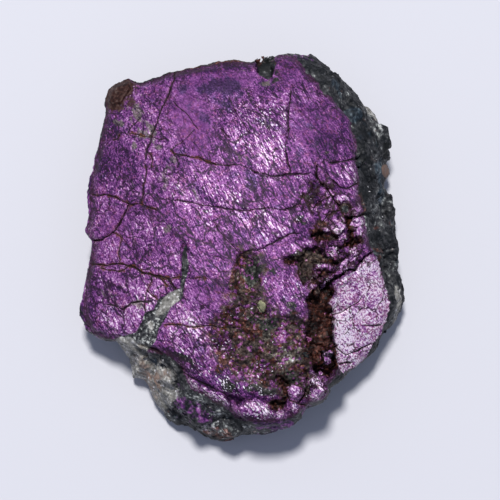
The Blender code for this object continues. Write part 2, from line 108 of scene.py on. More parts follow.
# The edge of the cleaved face, seen from above, anticlockwise from the right: x, y
FACE_RIM = [
    (10, -0.5), (9.7, 0.5), (9.4, 2.2), (9.05, 3.6), (8.95, 6), (9, 7.9), (8.65, 9), (8.6, 9.9), (7.3, 11.1),
    (6.65, 11.7), (6.1, 11.9), (5.85, 12.75), (5, 13.45), (4.1, 14.9), (3.2, 15.1), (1.4, 14.8), (0.5, 14.3),
    (-1, 14.4), (-2.3, 14.3), (-3.9, 13.95), (-5, 13.8), (-6.4, 13.5), (-7.5, 13.1), (-8.65, 12.85),
    (-9.5, 13.4), (-10.7, 13), (-11.15, 12.6), (-11.4, 11.7), (-11.25, 10.5), (-11.65, 8.3), (-12.1, 6.4),
    (-12.5, 3.8), (-12.4, 2.4), (-12.7, 0.95), (-12.15, 0.1), (-12.15, -0.5), (-12.4, -1.9), (-12.8, -4.4),
    (-12.85, -5.4), (-12.65, -6.4), (-12.35, -6.95), (-11.7, -7.4), (-10.9, -7.7), (-10, -7.75), (-9.4, -8.1),
    (-8.5, -8.6), (-7.2, -8.9), (-6.1, -9.1), (-5, -9.9), (-4.5, -10.9), (-4.1, -11.8), (-3, -12.25),
    (-2, -12.95), (-1, -13.4), (-0.4, -13.95), (0.5, -14.25), (2.8, -14.3), (3.6, -13.95), (4.15, -13.8),
    (4.7, -13.35), (5.3, -12.75), (6.4, -12.5), (6.9, -12), (6.7, -11.5), (7.3, -10.75), (8.1, -10.2),
    (9.4, -9.5), (10, -8.9), (10.5, -7.9), (11.15, -7.05), (11.6, -5.9), (11.85, -4.6), (11.65, -3.8),
    (11.1, -2.65), (10.75, -1.7), (10.4, -1.25),
]

# The widest line round the stone, in the same order: x, y, height
WIDEST = [
    (12.9, 0, 1.6), (12.6, 2.2, 1.6), (12.3, 4, 1.8), (11.75, 5.2, 2), (11.75, 5.8, 2), (12.2, 6.4, 2.2),
    (12.2, 6.9, 2.2), (12, 7.25, 2.4), (12.2, 7.8, 2.5), (12, 8.9, 2.5), (11.3, 10.6, 2.6), (10.6, 11.5, 2.8),
    (9.7, 12.3, 3.2), (9.35, 12.9, 3.5), (8.4, 13.8, 4), (8, 14.2, 4.2), (7.4, 14.4, 4.4), (7.1, 14.8, 4.7),
    (6.3, 15.15, 5), (5.5, 15.5, 5.3), (4.2, 15.6, 5.6), (2, 15.35, 6), (1.3, 15.15, 6.2), (0.3, 14.6, 6.5),
    (-1, 14.7, 6.5), (-2.4, 14.6, 6.5), (-3.9, 14.2, 6.4), (-5, 14.1, 6.2), (-6.2, 13.8, 6), (-7, 13.45, 5.8),
    (-8.6, 13.05, 5.4), (-9.5, 13.6, 5), (-10.8, 13.1, 4.6), (-11.2, 12.8, 4.5), (-11.55, 11.8, 4.5),
    (-11.4, 10.5, 4.6), (-11.8, 8.3, 4.8), (-12.3, 6.4, 4.9), (-12.7, 3.7, 5), (-12.6, 2.4, 5),
    (-12.9, 0.9, 4.8), (-12.3, 0.1, 4.8), (-12.3, -0.5, 4.8), (-12.6, -1.9, 4.8), (-13, -4.4, 4.6),
    (-13.1, -5.3, 4.4), (-12.9, -6.4, 4.2), (-12.7, -7, 3.8), (-12.1, -7.35, 3.6), (-11, -7.8, 3.4),
    (-10.1, -7.8, 3.2), (-9.9, -8.2, 2.5), (-9.2, -8.9, 2), (-8.9, -9.6, 1.6), (-8.8, -10.5, 1.2),
    (-8, -10.7, 1.2), (-7.1, -11.95, 1.2), (-6.6, -12.9, 1.2), (-5.8, -13.95, 1.1), (-4.9, -14.35, 1),
    (-3, -15.1, 1), (-1.5, -15.6, 0.9), (-0.7, -15.5, 1), (0.1, -15.1, 1.5), (1.3, -15, 2), (3.2, -14.7, 2.2),
    (4.4, -14.2, 2.8), (5.2, -13.1, 4.2), (6.3, -12.75, 5.2), (7, -12, 5.6), (6.9, -11.5, 5.4),
    (8.2, -10.7, 4.2), (8.8, -10.1, 4), (10.5, -8.7, 3.8), (11.5, -7.5, 2.8), (12.2, -6.6, 2.6), (13, -5, 2.5),
    (13.2, -4, 2.6), (13.1, -3, 2.4), (12.9, -1.2, 1.8),
]

# The line where the underside meets the surface that it lies on: x, y
FOOT = [
    (5.4, -1.4), (5.3, 2), (4.2, 5.2), (1.8, 7), (-1.4, 7.3), (-4.1, 5.6), (-5.6, 2.6), (-5.6, -1), (-5, -4.4),
    (-3.4, -7), (-0.6, -8.1), (2.2, -7.4), (4.4, -4.8),
]

# How hollow the underside is between the widest line and the foot: bearing in degrees, share
HOLLOWNESS = [
    (0, 0.3), (45, 0.25), (90, 0.45), (140, 0.6), (200, 0.7), (222, 0.8), (245, 0.35), (280, 0.3), (297, 0.5),
    (320, 0.35),
]

# The cleavage plate, coloured lighter than the face by painted sheen: its outline, a point that it passes through and
# its slopes along x and y
PLATE = [
    (6.65, -5.05), (7, -4.6), (7.4, -4.35), (7.1, -3.8), (7.65, -3.2), (8.3, -2.85), (8.9, -2.5), (9.5, -1.6),
    (10.4, -1.1), (11.1, -1.4), (12.4, -3.5), (12.4, -6), (11, -9), (8.6, -10.9), (7.7, -10), (7.45, -9.2),
    (7.3, -8.1), (7.15, -6.9), (7.1, -5.9), (7, -5.3),
]
PLATE_POINT = (7.5, -4.0, 8.7)
PLATE_SLOPES = (-0.5, 0.45)
PLATE_SWELL = 0.2
PLATE_WALL = 0.5

# Hollows sunk into the face: depth, width of the wall, outline
HOLLOWS = {
    "rusty field": (0.55, 1.3, [
        (-0.4, -1.5), (0.7, -1.5), (1.1, -3.2), (0.9, -4.6), (1.8, -6), (3, -6.6), (4.9, -6.4), (5.3, -10),
        (4, -11.4), (2.4, -11.6), (1, -11.2), (-0.3, -10.4), (-1.4, -9), (-2.4, -8.6), (-1.2, -7.6), (-2, -6.6),
        (-1.2, -5.8), (-0.1, -5.2), (-0.8, -4.2)]),
    "gully beside the plate": (1.9, 0.45, [
        (5.3, -4.1), (6, -3.7), (6.7, -3.5), (7.2, -4.3), (6.7, -5), (7.1, -5.6), (7.2, -7.4), (7.5, -9),
        (7.6, -9.9), (6.9, -10.7), (5.8, -10.4), (5.1, -9.2), (4.9, -8), (5, -7), (5.2, -5.9), (4.9, -5)]),
    "middle hollow": (0.65, 0.3, [
        (4.7, -1), (5.6, -0.9), (6.2, -1.2), (6.5, -1.55), (7.6, -1.75), (7.1, -2.15), (6.3, -1.85),
        (5.4, -2.2), (5.3, -3.2), (4.7, -3.7), (4.2, -3), (4.2, -2.3), (3.1, -2.1), (3.1, -1.7), (4.3, -1.6)]),
    "hole under it": (0.6, 0.25, [(5.7, -2.65), (6.4, -2.6), (6.9, -2.75), (6.4, -3), (5.9, -3.15)]),
    "hole by the right rim": (0.55, 0.3, [
        (5.2, 0.5), (5.9, 0.7), (6.5, 0.3), (7.3, 0.3), (7.4, 0), (6.6, -0.3), (5.8, -0.4), (5.3, 0)]),
    "holes along the rim": (0.7, 0.25, [
        (7.9, 1.8), (8.5, 1.6), (8.8, 0.9), (8.7, 0.2), (9.2, -0.2), (8.6, -0.7), (7.8, -0.5), (8.3, -0.1),
        (8.3, 0.7)]),
    "dull patch above them": (0.3, 0.3, [(7.5, 2.5), (8.1, 2.8), (8.3, 2.2), (8.1, 1.9), (7.7, 2)]),
    "hole between the crest and the ledge": (0.6, 0.35, [
        (-1.3, -12.2), (-0.5, -12.35), (0.2, -12.6), (0, -13), (-0.5, -13.3), (-1, -12.9)]),
    "hole above the ledge": (0.5, 0.35, [
        (2, -12.9), (2.6, -12.6), (3.3, -12.6), (3.4, -13.2), (2.8, -13.5), (2.3, -13.3)]),
    "gap beside the knobs": (0.4, 0.35, [
        (2.9, -10.9), (3.6, -11.4), (3.5, -12.1), (3.4, -12.8), (3.1, -12.2), (3, -11.6)]),
    "notch in the upper edge": (1.2, 0.35, [
        (0.8, 15.8), (1, 14.1), (1.2, 13.3), (1.9, 13), (2.3, 13.7), (2.4, 14.5), (2.8, 15.8)]),
    "dark inset of the lower left lobe": (0.5, 0.25, [
        (-12.6, -6.6), (-11.3, -7.1), (-10.3, -7.2), (-10, -7.8), (-11, -8.2), (-12.6, -7.6)]),
    "grey vein": (0.22, 0.25, [
        (-4.75, -0.2), (-4.55, -1.5), (-4.4, -2.5), (-4.65, -3.4), (-4.95, -4.9), (-5.85, -5.6), (-6.2, -6.4),
        (-6.75, -7.2), (-7, -8.2), (-8, -9.2), (-9.6, -9), (-10, -7.7), (-8.6, -7.4), (-8.1, -6.6),
        (-7.9, -5.9), (-7.2, -5.7), (-6.85, -5), (-6, -4.45), (-5.1, -4.1), (-5, -3), (-5, -1.5)]),
    "lower step": (0.5, 1.4, [
        (-5.2, -10), (-4.2, -10.5), (-3, -11.4), (-1.6, -12.1), (0, -12.4), (1.2, -12.3), (2.4, -12.5),
        (3.1, -11.9), (3.4, -11.1), (5, -10.6), (6.2, -10.4), (8.2, -10.9), (7, -14), (0, -15.5), (-5, -13)]),
}

# Lumps that stand on it: height, width of the wall, outline
LUMPS = {
    "purple crest": (0.6, 0.45, [
        (-4.6, -11), (-3.8, -11.3), (-2.9, -11.75), (-1.8, -12.1), (-1.1, -12.7), (-0.9, -13.2), (-2, -13.3),
        (-3.2, -12.6), (-4.6, -12.2)]),
    "bottom ledge": (0.6, 0.35, [
        (-0.6, -13.2), (0.3, -12.8), (1, -12.75), (1.7, -12.95), (2.1, -13.4), (2.7, -13.7), (3.5, -13.5),
        (3.5, -14.1), (2.8, -14.8), (0.4, -14.7), (-0.5, -14.1)]),
    "sliver by the ledge": (0.5, 0.25, [(3.7, -12.6), (4.1, -12.5), (4.9, -13.3), (4.4, -14.1), (3.9, -13.9)]),
    "left knob of the corner": (0.7, 0.4, [
        (3.5, -12), (3.9, -11.5), (4.6, -11.5), (4.8, -12.2), (4.4, -12.7), (3.9, -12.5)]),
    "right knob of the corner": (0.6, 0.4, [
        (5.3, -11.8), (5.5, -11), (6.5, -11.1), (7.2, -11.9), (6.6, -12.9), (5.5, -12.9)]),
    "brown knob": (0.3, 0.5, [(-11.9, 13.5), (-11.5, 11.6), (-10.2, 11.4), (-9.5, 12.4), (-9.3, 14)]),
    "block under the hole": (0.3, 0.2, [(6.2, -0.8), (7.5, -0.75), (7.7, -1.3), (7.3, -1.9), (6.4, -2)]),
    "block beside the gap": (0.3, 0.2, [(5.5, -2.3), (6.3, -2.1), (7.1, -2.3), (6.6, -2.9), (5.8, -3)]),
    "upper rim block": (0.25, 0.2, [(8.4, 1.1), (9, 1.2), (9.5, 1.8), (9.2, 1.95), (8.5, 1.65)]),
    "lower rim block": (0.25, 0.2, [(8.7, 0.3), (9.3, 0.25), (9.6, 0.8), (9, 0.95)]),
    "inner block": (0.25, 0.2, [(7, 0.4), (7.7, 0.3), (8, 0.9), (7.3, 1.15)]),
    "block by the holes": (0.25, 0.2, [(7.4, -0.3), (7.9, 0.2), (8.3, 0.3), (8, -0.4)]),
    "beige crystal": (0.25, 0.2, [(1, -5.1), (1.5, -5.1), (1.8, -5.5), (1.5, -6), (1.1, -5.7)]),
    "upper shard in the gully": (1.3, 0.2, [(6.3, -8.7), (6.7, -8.9), (7.2, -8.8), (6.8, -9.2), (6.5, -9.1)]),
    "lower shard in the gully": (1.3, 0.2, [(6.5, -9.3), (6.9, -9.2), (7.1, -9.5), (6.7, -9.9), (6.4, -9.7)]),
}

# Cracks, each with its depth, the half width of its line, how rusty its sides are, and its path
CRACKS = {
    "long upper crack": (0.22, 0.048, 0.25, [
        (-5.75, 14), (-5.85, 13), (-6.15, 12.05), (-6.3, 11.5), (-6.6, 10.8), (-6.85, 10.35), (-7.1, 9.4),
        (-7.45, 8.6), (-7.6, 8.05), (-7.7, 7.55), (-7.95, 7.05), (-8, 6.4)]),
    "its lower half": (0.22, 0.043, 0.6, [
        (-7.95, 5.9), (-7.9, 5.4), (-7.95, 4.9), (-8.15, 4.2), (-8.15, 3.6), (-8.4, 2.7)]),
    "its side branch": (0.15, 0.031, 0.6, [(-8, 7.05), (-7.6, 6.7), (-7.45, 6.2), (-7.5, 5.6)]),
    "left crack": (0.22, 0.043, 0.8, [
        (-12.3, 3.9), (-11.6, 3.6), (-11.25, 3.65), (-10.4, 3.4), (-9.65, 2.95), (-8.95, 2.7), (-8.25, 2.7),
        (-7.6, 2.35), (-7.05, 2.15)]),
    "left notch crack": (0.5, 0.051, 0.5, [
        (-9.35, 2.75), (-9.7, 1.95), (-10, 1.25), (-10.35, 0.8), (-10.85, 0.4), (-11.45, 0.12), (-12.9, 0)]),
    "twig of the notch crack": (0.15, 0.031, 0.8, [
        (-10.5, 0.55), (-9.9, 0.15), (-9.85, -0.25), (-10.05, -1.2), (-9.95, -1.7)]),
    "rusty crack": (0.22, 0.043, 1, [
        (-12.7, -1.6), (-11.95, -1.85), (-11, -2.05), (-10.15, -1.95), (-9.35, -2.15), (-8.8, -2.3),
        (-8.1, -2.8), (-7.7, -2.85), (-6.95, -3.05), (-6, -3.3), (-5, -3.2)]),
    "rusty crack past the vein": (0.15, 0.028, 0.6, [(-4.4, -3.35), (-3.9, -3.35), (-3.1, -3.35)]),
    "loop under the rusty crack": (0.15, 0.031, 0.8, [
        (-11.5, -2.2), (-10.9, -2.45), (-10, -2.65), (-9.7, -2.6), (-9.4, -2.3), (-9.2, -2.15)]),
    "crack to the vein": (0.2, 0.037, 0.9, [(-6.9, -3.1), (-6.55, -3.4), (-6.05, -3.9)]),
    "brown patch crack": (0.2, 0.068, 1, [(-6.1, -3.3), (-5.85, -3.55), (-5.5, -4.1)]),
    "branch down": (0.15, 0.028, 0.5, [
        (-7.4, -2.95), (-7.3, -3.35), (-7.65, -4.1), (-7.85, -4.9), (-7.85, -5.7)]),
    "branch to the right": (0.15, 0.028, 0.7, [(-7.65, -4.3), (-7.4, -4.6), (-6.85, -4.9)]),
    "dark step of the lobe": (0.22, 0.048, 0.1, [
        (-9.6, -5.6), (-9.2, -5.35), (-8.95, -5.1), (-8.15, -4.98), (-7.4, -5.05)]),
    "left end of the step": (0.15, 0.031, 0.1, [(-10.9, -5.15), (-10, -5.3), (-9.6, -5.6)]),
    "twig at the left": (0.15, 0.031, 0.5, [(-10.75, 8.15), (-10.35, 8.2), (-10.1, 8.5)]),
    "twig up": (0.2, 0.037, 0.1, [(-9.55, 8.65), (-9.4, 8.9), (-8.85, 9.4), (-8.6, 9.75)]),
    "rusty twig": (0.12, 0.028, 0.9, [(-9.4, 8.6), (-8.5, 8.35), (-7.5, 8.1)]),
    "short twig": (0.12, 0.031, 0.1, [(-7.3, 8), (-6.6, 7.9)]),
    "rusty upper crack": (0.22, 0.039, 1, [
        (-6, 6.95), (-5.7, 6.65), (-4.85, 6.45), (-3.8, 6.3), (-3.4, 6.05), (-2.95, 5.9), (-2.4, 5.65)]),
    "its thin end": (0.12, 0.028, 0.2, [(-2.4, 5.65), (-1.5, 5.6), (-0.4, 5.65), (0.7, 5.05)]),
    "upper step": (0.22, 0.039, 0.1, [
        (0.7, 5), (1.25, 4.95), (2.05, 4.75), (2.95, 4.7), (3.15, 4.85), (4.3, 4.93), (5, 5)]),
    "curved hairline": (0.1, 0.028, 0.1, [
        (-5.85, 11), (-5.5, 10.65), (-5.1, 10.2), (-4.7, 9.9), (-4.35, 9.3), (-3.9, 8.6)]),
    "its return": (0.08, 0.028, 0.1, [
        (-4.2, 8.5), (-4.75, 7.85), (-5.5, 7.35), (-5.9, 7), (-5.5, 6.3), (-5.4, 5.4)]),
    "upper diagonal": (0.1, 0.028, 0.1, [
        (-1.35, 11.3), (-1.15, 10.8), (-0.85, 10.05), (-0.45, 9.35), (0.2, 8.3)]),
    "diagonal to the dark spot": (0.12, 0.031, 0.1, [(-2.1, 8.6), (-1.75, 8.3), (-1.25, 7.8)]),
    "middle crack": (0.2, 0.034, 0.15, [
        (-5.6, 2.8), (-4.8, 2.78), (-3.75, 2.55), (-2.8, 2.3), (-1.95, 2.22), (-0.4, 1.97), (0.8, 2),
        (1.95, 2.2), (3.15, 2.05), (4, 2.3)]),
    "crack into the hollow": (0.22, 0.037, 0.1, [
        (0.1, -1.25), (1, -1.12), (1.7, -0.85), (2.4, -0.5), (3, -0.08), (3.6, 0.2), (4.2, 0.2)]),
    "middle diagonal": (0.12, 0.028, 0.1, [
        (-2.35, 0.85), (-2.05, 0.4), (-1.6, -0.3), (-0.85, -0.9), (-0.6, -1.2)]),
    "middle twig": (0.1, 0.028, 0.1, [(-2.5, -1.6), (-2, -1.7), (-1.6, -1.95)]),
    "vertical crack": (0.22, 0.039, 0.05, [
        (3.65, 11.9), (3.5, 10.6), (3.4, 9.4), (3.35, 8.1), (3.15, 7.1), (3.25, 6.4), (3.3, 5.8), (3.6, 5.2)]),
    "upper right joint": (0.22, 0.037, 0.1, [(6.9, 5.95), (7.5, 6.1), (8.1, 6.25), (9.1, 6.45)]),
    "branch to the right rim": (0.4, 0.051, 0.4, [
        (5.7, 5.7), (5.7, 5), (5.8, 4.6), (6.1, 4.2), (6.6, 3.65), (6.9, 3.3), (7.45, 2.55), (8.05, 1.6)]),
    "block joint": (0.22, 0.043, 0.1, [(6.9, 4.6), (7.5, 4.05), (8.1, 3.95), (9.1, 4.5)]),
    "gap above the plate": (0.9, 0.051, 0, [
        (10.3, -0.95), (9.6, -1.3), (9.25, -1.85), (8.9, -2.4), (8, -2.55), (7.65, -3), (7.25, -3.2),
        (6.7, -3.55)]),
    "gap between the rim blocks": (0.8, 0.095, 0.1, [(8.05, 1.6), (8.9, 1.7), (9.9, 2.25)]),
    "chain of holes": (0.6, 0.068, 0.3, [
        (8, 1.6), (8.2, 1.2), (8.45, 0.4), (8.6, 0), (8.15, -0.55), (7.6, -0.75), (6.8, -0.65)]),
    "gap under the block": (0.5, 0.051, 0.2, [(6.2, -2), (7, -2.1), (7.8, -1.7)]),
    "plate crack": (0.2, 0.034, 0.1, [(7.1, -5.9), (7.9, -5.6), (8.6, -5.2), (9.2, -4.9), (9.5, -4.5)]),
    "plate corner crack": (0.22, 0.034, 0.1, [
        (7.45, -8.35), (8.3, -8.9), (9.3, -8.5), (10, -8.15), (10.5, -7.9)]),
    "plate end crack": (0.18, 0.034, 0.1, [(7.6, -9.65), (8.3, -9.45), (8.9, -9.4)]),
    "plate edge crack": (0.15, 0.031, 0.1, [(9.8, -6.6), (10.5, -6.5), (11.2, -6.4)]),
    "lower rusty hairline": (0.12, 0.028, 0.9, [(-6.2, -6.9), (-5, -6.95), (-4, -7.1), (-3, -7), (-1.5, -7.1)]),
    "valley behind the crest": (0.1, 0.04, 0, [(-4.9, -10.4), (-3.9, -11.1), (-2.3, -11.8), (-1.3, -12.3)]),
    "foot of the crest": (0.4, 0.12, 0, [(-4.5, -11.9), (-2.9, -12.6), (-1.7, -13.3), (-0.8, -13.9)]),
    "dark band under the lobe": (0.5, 0.12, 0, [(-8.3, -8.3), (-7.1, -8.7), (-5.9, -9.5), (-4.9, -10.3)]),
    "gap between the knobs": (0.4, 0.045, 0.4, [(5.1, -10.9), (5, -11.6), (4.95, -12.3), (4.5, -12.9)]),
    "gap left of the knobs": (0.25, 0.045, 0.6, [
        (3.5, -11.3), (3.45, -12.1), (3.7, -12.7), (4.5, -12.9), (5.3, -13)]),
    "slivers beside the gap": (0.2, 0.034, 0.1, [(6.9, -2.9), (7.6, -2.3), (8.4, -1.9), (8.9, -1.3)]),
    "upper sliver": (0.2, 0.034, 0.1, [(7.6, -1.9), (8.3, -1.3), (8.9, -0.8)]),
    "joint in the upper right": (0.12, 0.03, 0.2, [(6.2, 1.3), (6.9, 1.9), (7.7, 2.2)]),
    "joint across": (0.12, 0.03, 0.2, [(3.9, 2.4), (4.3, 2.5), (4.6, 3.3), (5.4, 2.2), (6.3, 3), (6.9, 3.3)]),
}

